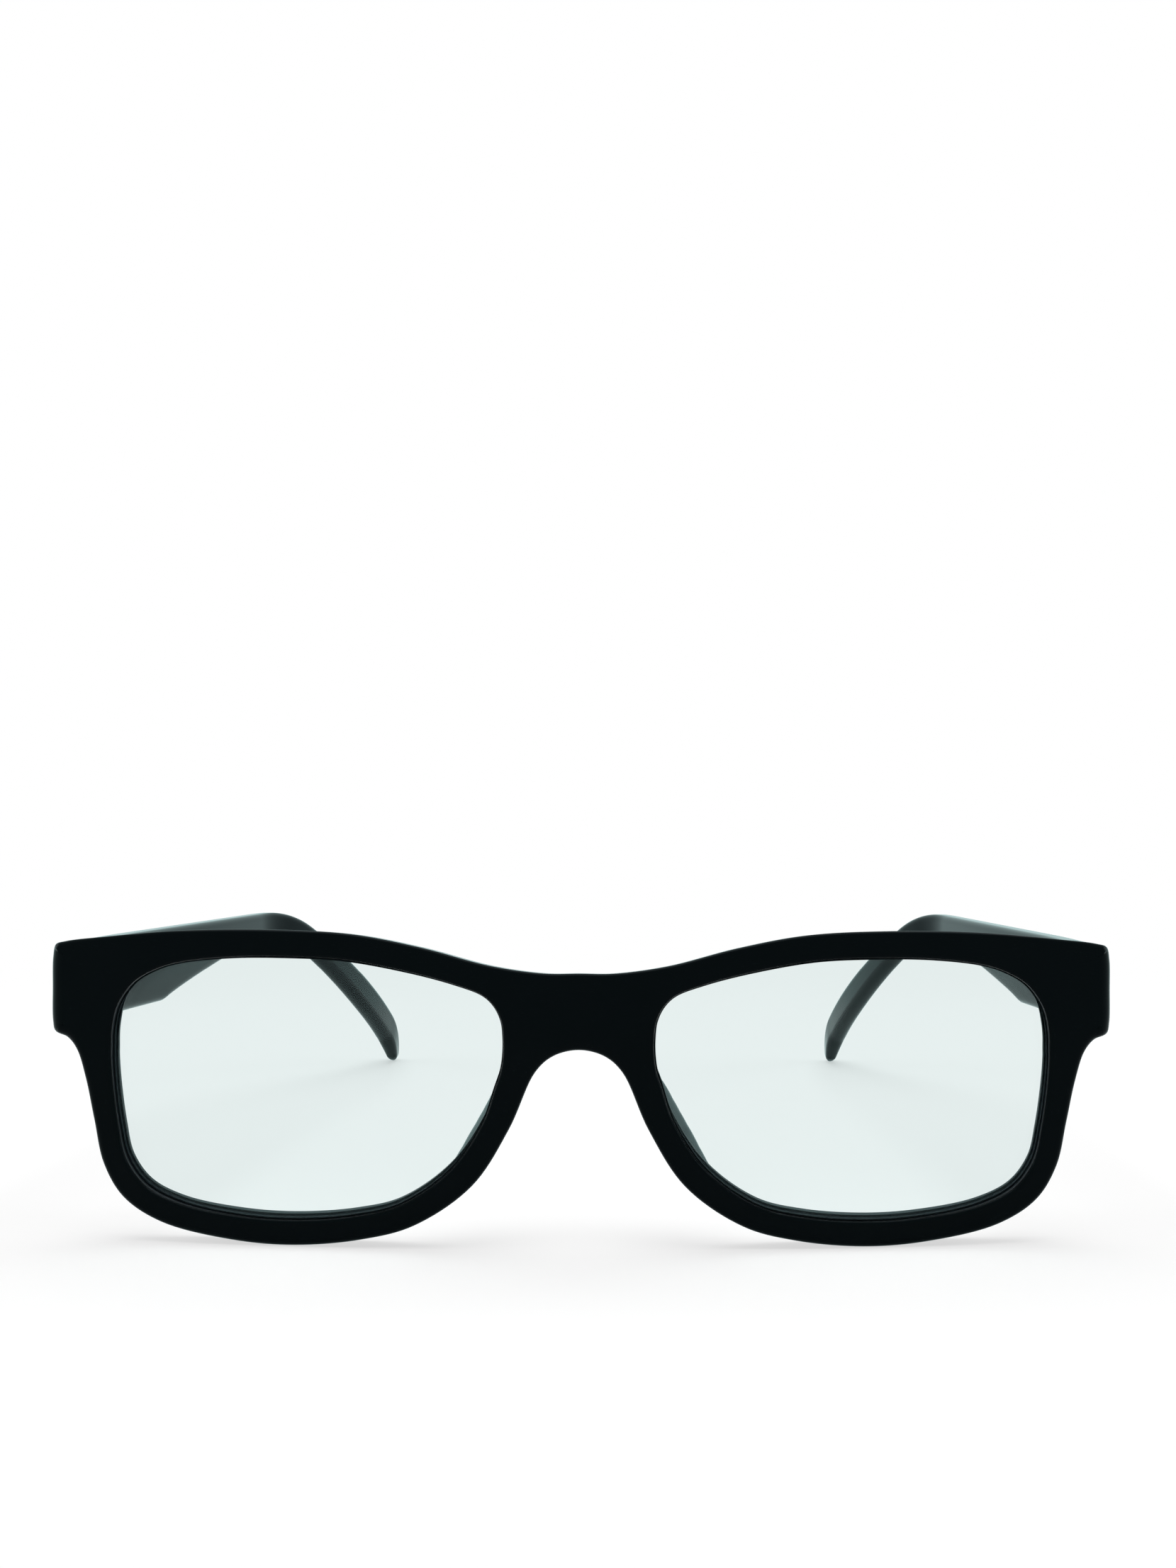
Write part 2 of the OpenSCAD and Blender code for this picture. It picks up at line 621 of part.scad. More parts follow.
// Nose pad: sections from its top to its bottom, each from the rim back to a rounded edge
pad_rows = 12;
pad_inset = 2.6;
pad_top = 0.56;
pad_low = 0.15;
function nose_edge(v) = lookup(v, [[0.10, eye_x(0.20)], [0.20, eye_x(0.13)], [0.38, eye_x(0.05)],
    [0.51, eye_x(0.02)], [0.6, eye_x(0)]]);
// Each profile point: share of the flare, share of the depth, share of the thickness
pad_profile = [[0, 0, 0], [0.35, 0.5, 0], [0.8, 0.88, 0.02], [1, 1, 0.24], [1, 0.96, 0.62],
    [1, 0.8, 0.8], [0.45, 0.4, 1], [0, 0, 1]];
function pad_ring(i) = let(t = i / pad_rows, v = lerp(pad_low, pad_top, t),
        grow = pow(sin(180 * lerp(0.06, 0.94, t)), 0.45), x0 = nose_edge(v) - pad_inset)
    [for (c = pad_profile) let(x = x0 + grow * pad_flare * c[0] + pad_t * c[2])
        [x, bow(x) + front_t + glue_gap + grow * pad_depth * c[1], eye_z(v)]];

module nose_pad(side) {
    color(black) placed(side) skin([for (i = [0 : pad_rows]) pad_ring(i)]);
}

front_frame();
lens("left");  // left_lens
lens("right");  // right_lens
nose_pad("left");  // left_nose_pad
nose_pad("right");  // right_nose_pad
front_hinge_leaf("left");  // left_front_hinge_leaf
front_hinge_leaf("right");  // right_front_hinge_leaf
front_leaf_screws("left");  // left_front_leaf_screws
front_leaf_screws("right");  // right_front_leaf_screws
hinge_screw("left");  // left_hinge_screw
hinge_screw("right");  // right_hinge_screw
temple("left");  // left_temple
temple("right");  // right_temple
temple_hinge_leaf("left");  // left_temple_hinge_leaf
temple_hinge_leaf("right");  // right_temple_hinge_leaf
temple_leaf_screws("left");  // left_temple_leaf_screws
temple_leaf_screws("right");  // right_temple_leaf_screws
temple_core("left");  // left_temple_core
temple_core("right");  // right_temple_core
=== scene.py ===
# %% [markdown]
# # A rectangular plastic eyeglass frame
#
# This notebook dresses the CAD model of a full-rim eyeglass frame for rendering. The CAD model
# fixes every place and size. What it can't hold is how the parts look from close by: polished
# edges that catch the light, clear resin lenses, and the small metal hinges behind the end
# pieces. Each piece here is built in the CAD model's own coordinates, so nothing needs fitting.
# The first step loads that model and puts its parts in the world frame.

# %% Load the frame
import math

import bmesh
import bpy
import numpy as np
from mathutils import Matrix, Vector


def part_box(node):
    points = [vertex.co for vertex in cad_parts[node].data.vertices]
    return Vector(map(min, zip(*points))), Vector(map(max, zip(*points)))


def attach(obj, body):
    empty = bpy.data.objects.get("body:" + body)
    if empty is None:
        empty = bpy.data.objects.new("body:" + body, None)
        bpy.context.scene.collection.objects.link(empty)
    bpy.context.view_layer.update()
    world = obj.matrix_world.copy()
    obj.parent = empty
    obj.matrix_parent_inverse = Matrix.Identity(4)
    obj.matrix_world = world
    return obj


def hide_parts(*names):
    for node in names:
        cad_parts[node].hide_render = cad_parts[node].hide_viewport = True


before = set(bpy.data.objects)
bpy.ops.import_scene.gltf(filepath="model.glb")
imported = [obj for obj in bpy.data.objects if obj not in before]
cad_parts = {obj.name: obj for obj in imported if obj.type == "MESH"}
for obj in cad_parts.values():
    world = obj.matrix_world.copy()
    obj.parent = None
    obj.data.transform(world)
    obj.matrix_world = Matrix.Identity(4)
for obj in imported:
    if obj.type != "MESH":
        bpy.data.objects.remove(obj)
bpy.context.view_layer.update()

# %% [markdown]
# ## Camera
#
# The picture was taken from in front, a little above the frame and slightly to the wearer's left,
# with the lens held level. A level lens keeps upright edges upright, and the frame then sits low
# in the picture because the horizon runs through its middle. A pinhole camera was fitted to the
# outline of the front and to the temples, and these are its numbers. A camera could be placed by
# eye, but then no shape could be compared to the pixel. The optical axis lies beside the middle of
# the picture, which is what the camera's shift is for.

# %% Camera
MM = 0.001              # Blender counts in metres, and the sizes here are in millimetres
IMAGE_W = 1659          # width of the picture in pixels
FOCAL_PX = 2255         # focal length in the same pixels
AXIS_PX = 932           # where the optical axis crosses the picture, from its left edge
SENSOR_W = 36           # any width will do, because the focal length is worked out from it
CAMERA_DISTANCE = 205   # from the face of the bridge
CAMERA_X, CAMERA_Z = 10.45, 59.9
CAMERA_ROLL = 0.0026    # radians
NEAREST = 0.01          # metres, closer than which the camera sees nothing
FRONT_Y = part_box("front_frame")[0].y / MM


def add_object(name, data):
    """Makes an object of a mesh, a curve, a lamp or a camera, and puts it in the scene."""
    thing = bpy.data.objects.new(name, data)
    bpy.context.scene.collection.objects.link(thing)
    return thing


camera_data = bpy.data.cameras.new("camera")
camera_data.sensor_fit = "HORIZONTAL"
camera_data.sensor_width = SENSOR_W
camera_data.lens = SENSOR_W * FOCAL_PX / IMAGE_W
camera_data.shift_x = -(AXIS_PX - IMAGE_W / 2) / IMAGE_W
camera_data.clip_start = NEAREST
camera = add_object("camera", camera_data)
camera.matrix_world = (
    Matrix.Translation(Vector((CAMERA_X, FRONT_Y - CAMERA_DISTANCE, CAMERA_Z)) * MM)
    @ Matrix.Rotation(math.pi / 2, 4, "X")
    @ Matrix.Rotation(CAMERA_ROLL, 4, "Z"))
bpy.context.scene.camera = camera
bpy.context.scene.view_settings.view_transform = "Standard"
print(f"camera: {camera_data.lens:.1f} mm lens, {CAMERA_DISTANCE} mm in front of the bridge")

# %% [markdown]
# ## Node helpers
#
# Materials and Geometry Nodes are both trees of nodes. One small function is enough to write them
# in code: it adds a node, sets its options, and fills or links its inputs. A second one turns a
# colour as it is picked on a screen into the linear values that Blender calculates with.

# %% Node helpers
def put(tree, kind, inputs=None, **options):
    """Adds a node. An input is given a value, or the output socket that it is linked to."""
    node = tree.nodes.new(kind)
    for name, value in options.items():
        setattr(node, name, value)
    for key, value in (inputs or {}).items():
        if isinstance(value, bpy.types.NodeSocket):
            tree.links.new(value, node.inputs[key])
        else:
            node.inputs[key].default_value = value
    return node


def paint(code):
    """A screen colour such as #808080 as linear red, green, blue and alpha, by the sRGB rule."""
    shares = [int(code[i:i + 2], 16) / 255 for i in (1, 3, 5)]
    return [c / 12.92 if c <= 0.04045 else ((c + 0.055) / 1.055) ** 2.4 for c in shares] + [1]


def new_material(name):
    """A material, its tree, which is empty but for the output, and that output."""
    material = bpy.data.materials.new(name)
    material.use_nodes = True
    material.node_tree.nodes.clear()
    tree = material.node_tree
    return material, tree, put(tree, "ShaderNodeOutputMaterial")


def per_mm(size):
    """The texture scale at which one noise cell is this many millimetres wide."""
    return 1 / (size * MM)


print("a screen grey of #808080 is", round(paint("#808080")[0], 3), "of white")

# %% [markdown]
# ## Floor and studio light
#
# Such frames are photographed in a white tent that is open towards the camera. The floor and the
# backdrop are white, a large soft light hangs overhead, and two more stand at the sides. The dark
# side of the tent is what the black front mirrors, so it looks black, and the light sides are what
# the rounded edges mirror. More light could make the floor white too, but it would bleach the
# object. So the floor is lit to a pale grey and lifted to white for the camera, for mirrors and
# for glass, which leaves the soft shadow under the rims. In mirrors the white is a little cooler,
# as the cloth of a tent is beside paper.

# %% What sees the white backdrop
WHITE, COOL_WHITE = paint("#FFFFFF"), paint("#DEFAFA")


def sight(tree):
    """Two sockets: whether the eye, a mirror or glass is looking, and the white that it sees."""
    path = put(tree, "ShaderNodeLightPath").outputs
    mirror, glass = path["Is Glossy Ray"], path["Is Transmission Ray"]
    seen = put(tree, "ShaderNodeMath", {0: path["Is Camera Ray"], 1: mirror}, operation="MAXIMUM")
    seen = put(tree, "ShaderNodeMath", {0: seen.outputs[0], 1: glass}, operation="MAXIMUM")
    only_mirror = put(tree, "ShaderNodeMath", {0: mirror, 1: glass}, operation="SUBTRACT",
                      use_clamp=True)
    white = put(tree, "ShaderNodeMixRGB", {"Fac": only_mirror.outputs[0], "Color1": WHITE,
                                           "Color2": COOL_WHITE})
    return seen.outputs[0], white.outputs[0]


# %% Floor
FLOOR_RADIUS, FLOOR_SIDES = 4.0, 64     # metres, and corners of its outline
FLOOR_DROP = 0.02                       # keeps the floor clear of what stands on it
NEAR, FAR = 0.15, 0.3                   # metres from the middle, between which the shadow fades
FLOOR_LIFT = 0.64                       # what the lit floor near the frame lacks to be white
floor_mesh = bpy.data.meshes.new("floor")
turn = [2 * math.pi * i / FLOOR_SIDES for i in range(FLOOR_SIDES)]
floor_mesh.from_pydata([(FLOOR_RADIUS * math.cos(a), FLOOR_RADIUS * math.sin(a), -FLOOR_DROP * MM)
                        for a in turn], [], [range(FLOOR_SIDES)])
floor = add_object("floor", floor_mesh)

paper, tree, output = new_material("White paper sweep, matt")
seen, backdrop = sight(tree)
where = put(tree, "ShaderNodeTexCoord").outputs["Object"]
distance = put(tree, "ShaderNodeVectorMath", {0: where}, operation="LENGTH").outputs["Value"]
far = put(tree, "ShaderNodeMapRange", {"Value": distance, "From Min": NEAR, "From Max": FAR,
                                       "To Min": 0.0, "To Max": 1.0},
          interpolation_type="SMOOTHSTEP")
matt = put(tree, "ShaderNodeBsdfDiffuse", {"Color": paint("#E6E6E6")})
shaded = put(tree, "ShaderNodeBsdfDiffuse", {"Color": paint("#ABABAB")})
lift = put(tree, "ShaderNodeEmission", {"Color": backdrop, "Strength": FLOOR_LIFT})
lifted = put(tree, "ShaderNodeAddShader", {0: shaded.outputs[0], 1: lift.outputs[0]})
white = put(tree, "ShaderNodeEmission", {"Color": backdrop, "Strength": 1.0})
near_or_far = put(tree, "ShaderNodeMixShader", {0: far.outputs[0], 1: lifted.outputs[0],
                                                2: white.outputs[0]})
shown = put(tree, "ShaderNodeMixShader", {0: seen, 1: matt.outputs[0], 2: near_or_far.outputs[0]})
tree.links.new(shown.outputs[0], output.inputs["Surface"])
floor_mesh.materials.append(paper)
print("floor:", FLOOR_RADIUS, "m in radius")

# %% World
OPEN_SIDE, BACK_SIDE = -0.35, 0.5       # how far a direction points away from the camera
OPEN_LIGHT, BACK_LIGHT = 0.04, 0.45     # and the tent's strength in those directions
world = bpy.data.worlds.new("tent")
bpy.context.scene.world = world
world.use_nodes = True
tree = world.node_tree
tree.nodes.clear()
seen, backdrop = sight(tree)
toward = put(tree, "ShaderNodeTexCoord").outputs["Generated"]
back = put(tree, "ShaderNodeSeparateXYZ", {0: toward}).outputs["Y"]
tent = put(tree, "ShaderNodeMapRange", {"Value": back, "From Min": OPEN_SIDE,
                                        "From Max": BACK_SIDE, "To Min": OPEN_LIGHT,
                                        "To Max": BACK_LIGHT}, interpolation_type="SMOOTHSTEP")
dim = put(tree, "ShaderNodeBackground", {"Color": WHITE, "Strength": tent.outputs[0]})
white = put(tree, "ShaderNodeBackground", {"Color": backdrop, "Strength": 1.0})
shown = put(tree, "ShaderNodeMixShader", {0: seen, 1: dim.outputs[0], 2: white.outputs[0]})
put(tree, "ShaderNodeOutputWorld", {"Surface": shown.outputs[0]})
print("tent:", OPEN_LIGHT, "towards the camera and", BACK_LIGHT, "behind the frame")

# %% Lamps
SIDES = (("left", 1), ("right", -1))    # the wearer's left is at positive X


def softbox(name, place, target, width, height, watts):
    """A rectangular lamp, in metres, that points from its place at a target."""
    data = bpy.data.lights.new(name, "AREA")
    data.shape = "RECTANGLE"
    data.size, data.size_y, data.energy = width, height, watts
    lamp = add_object(name, data)
    aim = (Vector(target) - Vector(place)).to_track_quat("-Z", "Y")
    lamp.matrix_world = Matrix.Translation(place) @ aim.to_matrix().to_4x4()
    lamp.visible_camera = False


softbox("overhead", (0, 0.05, 0.75), (0, 0, 0), width=0.8, height=0.8, watts=4.6)
for name, side in SIDES:
    softbox(f"{name}_side", (side * 0.7, 0.0, 0.25), (0, 0, 0.03), width=0.5, height=0.4, watts=1.2)

# %% [markdown]
# ## Black frame plastic
#
# The front, the temples and the nose pads are moulded from a cellulose plastic such as propionate,
# dyed black through and through. The parts are then tumbled for days with wood chips and wax. That
# leaves a deep soft gloss rather than a mirror: the surface still swells very slightly from the
# mould, and it has the hair-fine marks of tumbling. One flat black could stand for it, but it would
# look like a hole. So the colour stays nearly the same all over, and the noise goes into the
# roughness and a very low bump.
#
# How much a part mirrors depends on its last step. The front comes from the tumbler and looks
# deep black. The temples are buffed on a wheel as well and mirror a little more. The pads are
# lacquered, which gives them a bright gloss. What a cutter mills round the eye openings is left
# as it is: its marks scatter the light, so it looks dull and a little greyer.

# %% Black frame plastic
SWELL_MM = 7.0       # width of the swell left by the mould
MARK_MM = 0.35       # real tumbling marks are finer, and this is the finest that shows
CUT_MM = 0.4         # spacing of the cutter's marks round the eye openings
PLASTIC_IOR = 1.47
NOISE = {"From Min": 0.35, "From Max": 0.65}     # noise seldom leaves this range


def black_plastic(name, shine):
    """Black plastic. A shine of 0.5 is all that its IOR gives, and 0 mirrors nothing."""
    material, tree, output = new_material(name)
    where = put(tree, "ShaderNodeTexCoord").outputs["Object"]
    swell = put(tree, "ShaderNodeTexNoise", {"Vector": where, "Scale": per_mm(SWELL_MM),
                                             "Detail": 1.0})
    marks = put(tree, "ShaderNodeTexNoise", {"Vector": where, "Scale": per_mm(MARK_MM),
                                             "Detail": 3.0})
    gloss = put(tree, "ShaderNodeMapRange", {"Value": marks.outputs["Fac"], **NOISE,
                                             "To Min": 0.09, "To Max": 0.12})
    tint = put(tree, "ShaderNodeMixRGB", {"Fac": swell.outputs["Fac"], "Color1": paint("#06090A"),
                                          "Color2": paint("#090C0E")})
    low = put(tree, "ShaderNodeBump", {"Height": swell.outputs["Fac"], "Strength": 0.25,
                                       "Distance": 0.02 * MM})
    fine = put(tree, "ShaderNodeBump", {"Height": marks.outputs["Fac"], "Strength": 0.1,
                                        "Distance": 0.001 * MM, "Normal": low.outputs[0]})
    skin = put(tree, "ShaderNodeBsdfPrincipled", {
        "Base Color": tint.outputs[0], "Roughness": gloss.outputs[0], "IOR": PLASTIC_IOR,
        "Specular IOR Level": shine, "Specular Tint": paint("#D8F2FF"),
        "Normal": fine.outputs[0]})
    tree.links.new(skin.outputs[0], output.inputs["Surface"])
    print("material:", name)
    return material


tumbled = black_plastic("Cellulose propionate, dyed black and tumble polished", shine=0.045)
buffed = black_plastic("Cellulose propionate, dyed black and wheel buffed", shine=0.1)
lacquered = black_plastic("Cellulose propionate, dyed black and lacquered", shine=0.3)

# %% Milled plastic
milled, tree, output = new_material("Cellulose propionate, dyed black and milled")
where = put(tree, "ShaderNodeTexCoord").outputs["Object"]
cuts = put(tree, "ShaderNodeTexNoise", {"Vector": where, "Scale": per_mm(CUT_MM), "Detail": 2.0})
gloss = put(tree, "ShaderNodeMapRange", {"Value": cuts.outputs["Fac"], **NOISE, "To Min": 0.38,
                                         "To Max": 0.46})
tint = put(tree, "ShaderNodeMixRGB", {"Fac": cuts.outputs["Fac"], "Color1": paint("#1F2529"),
                                      "Color2": paint("#30383C")})
skin = put(tree, "ShaderNodeBsdfPrincipled", {"Base Color": tint.outputs[0],
                                              "Roughness": gloss.outputs[0], "IOR": PLASTIC_IOR,
                                              "Specular IOR Level": 0.1})
tree.links.new(skin.outputs[0], output.inputs["Surface"])
print("material:", milled.name)

# %% [markdown]
# ## Clear lenses
#
# Demonstration lenses are cast from a clear resin, allyl diglycol carbonate, and have no power.
# The resin has only half the density of window glass, a refractive index of 1.5, and it lets
# nearly all light through. A thin see-through sheet could stand for it, but it would neither bend
# the light nor mirror the room. Real glass in a renderer throws a dark shadow, though, because
# lamps can't be found through it. So for shadow rays alone the lens is plain see-through with the
# same faint tint. Its edge is frosted by a grinding wheel, and its dark grey colour is painted
# shade from the black groove round it.

# %% Clear lenses
RESIN_IOR = 1.5
clear, tree, output = new_material("Allyl diglycol carbonate, cast and hard coated")
resin = put(tree, "ShaderNodeBsdfPrincipled", {"Base Color": paint("#E4EDEC"), "Roughness": 0.0,
                                               "IOR": RESIN_IOR, "Transmission Weight": 1.0,
                                               "Specular Tint": paint("#6A7472")})
open_way = put(tree, "ShaderNodeBsdfTransparent", {"Color": paint("#F4F8F7")})
path = put(tree, "ShaderNodeLightPath")
shown = put(tree, "ShaderNodeMixShader", {0: path.outputs["Is Shadow Ray"], 1: resin.outputs[0],
                                          2: open_way.outputs[0]})
tree.links.new(shown.outputs[0], output.inputs["Surface"])
print("material:", clear.name)

# %% Ground edge of the lenses
GRIT_MM = 0.3        # the wheel's real grit is finer, and this is the finest that shows
ground_painted_shade, tree, output = new_material("Allyl diglycol carbonate, ground at its edge")
where = put(tree, "ShaderNodeTexCoord").outputs["Object"]
grit = put(tree, "ShaderNodeTexNoise", {"Vector": where, "Scale": per_mm(GRIT_MM), "Detail": 2.0})
# The edge's dark grey colours are painted shade from the black groove round the lens, varied by the
# grit noise.
tint = put(tree, "ShaderNodeMixRGB", {"Fac": grit.outputs["Fac"], "Color1": paint("#232B2E"),
                                      "Color2": paint("#3A484C")})
edge = put(tree, "ShaderNodeBsdfPrincipled", {"Base Color": tint.outputs[0], "Roughness": 0.5,
                                              "IOR": RESIN_IOR, "Specular IOR Level": 0.1})
tree.links.new(edge.outputs[0], output.inputs["Surface"])
print("material:", ground_painted_shade.name)

# %% [markdown]
# ## Metals
#
# The hinge leaves are stamped from nickel silver, a copper alloy that looks like warm steel, and
# are barrel finished, so they are satin with short fine strokes. The screws are turned stainless
# steel, which is brighter and has the fine even marks of the cutting tool. The wire inside the
# temples is drawn, so its strokes run along it. An anisotropic shader could stretch the highlights
# instead, but it shows no stroke from close by. So each metal gets noise that is stretched along
# its strokes, in the colour, the roughness and a low bump.

# %% Metals
ROUGH_SPREAD = 0.07      # how far a stroke's roughness differs from the metal's own


def satin_metal(name, light, dark, rough, grain_mm, stretch):
    """A metal whose strokes are noise stretched along one direction."""
    material, tree, output = new_material(name)
    where = put(tree, "ShaderNodeTexCoord").outputs["Object"]
    drawn = put(tree, "ShaderNodeMapping", {"Vector": where, "Scale": stretch})
    strokes = put(tree, "ShaderNodeTexNoise", {"Vector": drawn.outputs[0],
                                               "Scale": per_mm(grain_mm), "Detail": 2.0})
    colour = put(tree, "ShaderNodeMixRGB", {"Fac": strokes.outputs["Fac"], "Color1": paint(dark),
                                            "Color2": paint(light)})
    gloss = put(tree, "ShaderNodeMapRange", {"Value": strokes.outputs["Fac"], "From Min": 0.3,
                                             "From Max": 0.7,
                                             "To Min": rough - ROUGH_SPREAD,
                                             "To Max": rough + ROUGH_SPREAD})
    relief = put(tree, "ShaderNodeBump", {"Height": strokes.outputs["Fac"], "Strength": 0.2,
                                          "Distance": 0.01 * MM})
    metal = put(tree, "ShaderNodeBsdfPrincipled", {"Base Color": colour.outputs[0],
                                                   "Metallic": 1.0, "Roughness": gloss.outputs[0],
                                                   "Normal": relief.outputs[0]})
    tree.links.new(metal.outputs[0], output.inputs["Surface"])
    print("material:", name)
    return material


nickel_silver = satin_metal("Nickel silver, stamped and barrel finished", light="#C4C2B8",
                            dark="#A9A79E", rough=0.30, grain_mm=0.12, stretch=(1.0, 1.0, 0.2))
turned_steel = satin_metal("Stainless steel, turned", light="#CFCFCC", dark="#B4B4B2", rough=0.2,
                           grain_mm=0.08, stretch=(1.0, 1.0, 1.0))
drawn_wire = satin_metal("Nickel silver wire, drawn", light="#BDBBB2", dark="#A3A198", rough=0.25,
                         grain_mm=0.1, stretch=(1.0, 0.1, 1.0))

# %% [markdown]
# ## Mesh helpers
#
# All sizes below are in millimetres in the CAD model's own terms: the bridge's face at Y = 0, the
# table at Z = 0, and the wearer's left at positive X. One helper turns a list of such points into
# a piece: it moves them to the shared frame, merges doubled points, turns all faces outwards and
# keeps only edges above a given angle sharp. Others round a piece's edges, cut a pocket, and make
# what the modifiers show the piece's own mesh.

# %% Mesh helpers
MERGE = 0.001 * MM       # points closer than this, in metres, are one point
SHARP = 35               # degrees: an edge that turns by more stays sharp


def lerp(a, b, t):
    """What lies at a share t of the way from a to b."""
    return a + (b - a) * t


def smooth(t):
    """A share from 0 to 1 that starts and ends softly."""
    t = min(1, max(0, t))
    return t * t * (3 - 2 * t)


def unit(v):
    """A vector's direction, one unit long."""
    return v / np.linalg.norm(v)


def to_frame(x, y, z):
    """A place in the CAD model's millimetres as a place in the shared frame, in metres."""
    return x * MM, (y + FRONT_Y) * MM, z * MM


def shade(mesh, sharp):
    """Shades all faces smoothly, apart from edges that turn by more than an angle."""
    for face in mesh.polygons:
        face.use_smooth = True
    mesh.set_sharp_from_angle(angle=math.radians(sharp))


def close_up(mesh, sharp=SHARP):
    """Merges doubled points, turns the faces outwards and marks the sharp edges."""
    shape = bmesh.new()
    shape.from_mesh(mesh)
    bmesh.ops.remove_doubles(shape, verts=shape.verts, dist=MERGE)
    bmesh.ops.dissolve_degenerate(shape, edges=shape.edges, dist=MERGE / 2)
    bmesh.ops.delete(shape, geom=[v for v in shape.verts if not v.link_faces], context="VERTS")
    bmesh.ops.recalc_face_normals(shape, faces=shape.faces)
    open_edges = sum(1 for e in shape.edges if len(e.link_faces) != 2)
    volume = shape.calc_volume(signed=True) / MM ** 3
    shape.to_mesh(mesh)
    shape.free()
    shade(mesh, sharp)
    return open_edges, volume


def new_piece(name, points, faces, material, sharp=SHARP, second=None, second_faces=()):
    """A piece from points and faces, of which some may have a second material."""
    mesh = bpy.data.meshes.new(name)
    mesh.from_pydata([to_frame(*point) for point in points], [], faces)
    mesh.materials.append(material)
    if second:
        mesh.materials.append(second)
    for i in second_faces:
        mesh.polygons[i].material_index = 1
    open_edges, volume = close_up(mesh, sharp)
    print(f"{name}: {len(mesh.polygons)} faces, {volume:.1f} mm3, {open_edges} open edges")
    return add_object(name, mesh)


def skin_faces(rings, size):
    """Quads between rings of points, and a cap on each end."""
    faces = [(i * size + j, i * size + (j + 1) % size, (i + 1) * size + (j + 1) % size,
              (i + 1) * size + j) for i in range(rings - 1) for j in range(size)]
    return faces + [tuple(range(size)), tuple(range((rings - 1) * size, rings * size))]


def shown_mesh(thing):
    """What an object shows with its modifiers on, as a plain mesh."""
    graph = bpy.context.evaluated_depsgraph_get()
    return bpy.data.meshes.new_from_object(thing.evaluated_get(graph))


def apply_modifiers(piece):
    """Makes what the modifiers show the piece's own mesh."""
    mesh = shown_mesh(piece)
    piece.modifiers.clear()
    piece.data = mesh


def round_edges(piece, width, segments, above):
    """Bevels the edges that turn by more than an angle, and applies all modifiers.

    The bevel may not overlap itself, so short edges make it narrower than the given width.
    """
    edge = piece.modifiers.new("rounded edges", "BEVEL")
    edge.width, edge.segments, edge.limit_method = width * MM, segments, "ANGLE"
    edge.angle_limit = math.radians(above)
    apply_modifiers(piece)


def pocket(piece, low, high):
    """Cuts a box-shaped pocket between two corners out of a piece."""
    mesh = bpy.data.meshes.new("cutter")
    mesh.from_pydata([to_frame(x, y, z) for x in (low[0], high[0]) for y in (low[1], high[1])
                      for z in (low[2], high[2])],
                     [], [(0, 1, 3, 2), (4, 6, 7, 5), (0, 4, 5, 1), (2, 3, 7, 6), (0, 2, 6, 4),
                          (1, 5, 7, 3)])
    close_up(mesh)
    cutter = add_object("cutter", mesh)
    cut = piece.modifiers.new("pocket", "BOOLEAN")
    cut.object, cut.operation, cut.solver = cutter, "DIFFERENCE", "EXACT"
    apply_modifiers(piece)
    bpy.data.objects.remove(cutter)
    piece.data.set_sharp_from_angle(angle=math.radians(SHARP))


# %% [markdown]
# ## The front
#
# The front is one moulding: two rims, the bridge and the end pieces that turn back to meet the
# temples. It could be cut from a block with Boolean modifiers, but a bevel on such a mesh is rarely
# even. Its shape is really a band between two outlines, the eye opening and the outer edge. So the
# mesh is made row by row round one eye, each row pairing a point on the opening with a point on
# the outer edge, and smooth curves fill in between the rows. The same section is then drawn at
# each station: rounded edges, the back, the end piece's wall and the groove that holds the lens.
# The front edge of the brow and of the end pieces stands out a little, and a small lip behind the
# lens follows its lower and outer edge. The other half is the mirror image, joined along the
# middle of the bridge.

# %% Sizes of the front
BOW_R = 450                         # radius of the front's bow, seen from above
FRONT_T, END_T = 4.0, 7.0           # thickness of the rims and of the end pieces
END_X, END_Z, END_H = 69.8, 32.8, 11.2
EYE_W, EYE_H, BRIDGE_GAP = 51.8, 34.0, 19.4
RIM_LOW, RIM_TOP, RIM_SIDE = 3.4, 3.2, 3.9
ARCH_Z, BRIDGE_TOP = 25.6, 35.2     # lower and upper edge of the bridge
EDGE_R, TOP_R, BACK_R, EYE_R = 0.9, 0.5, 0.6, 0.45     # rounding in front, above, behind, inside
END_SOFT = 0.9                      # how much rounder the front of the end pieces is
LEAD = 0.25                         # strip beside a rounded edge, which keeps the flat faces flat
DRAFT = 0.3                         # how far the front edge of brow and end pieces stands out
LIP, LIP_R = 0.5, 0.3               # lip behind the lens, along its lower and outer edge
LIP_OUT, LIP_REACH = 0.5, 0.6       # how far it leans to the outer side, and how far round it goes
LENS_R, LENS_T, LENS_SET = 150, 2.0, 0.5     # radius, thickness, and how deep the lens sits
GROOVE_D, GROOVE_W, LENS_PLAY = 0.8, 1.1, 0.08
TEMPLE_T = 3.8
RETURN_W, RETURN_R = TEMPLE_T + 0.1, 0.15    # the part that turns back, and its rounding behind
END_TOP, END_LOW = END_Z + END_H / 2, END_Z - END_H / 2
EYE_TOP = RIM_LOW + EYE_H


def bow(x):
    """How far the front's bow has gone back at x."""
    return BOW_R - math.sqrt(BOW_R ** 2 - x * x)


def ex(u):
    """Place across the eye opening, at a share of its width from the nose."""
    return BRIDGE_GAP / 2 + u * EYE_W


def ez(v):
    """Height in the eye opening, at a share of its height."""
    return RIM_LOW + v * EYE_H


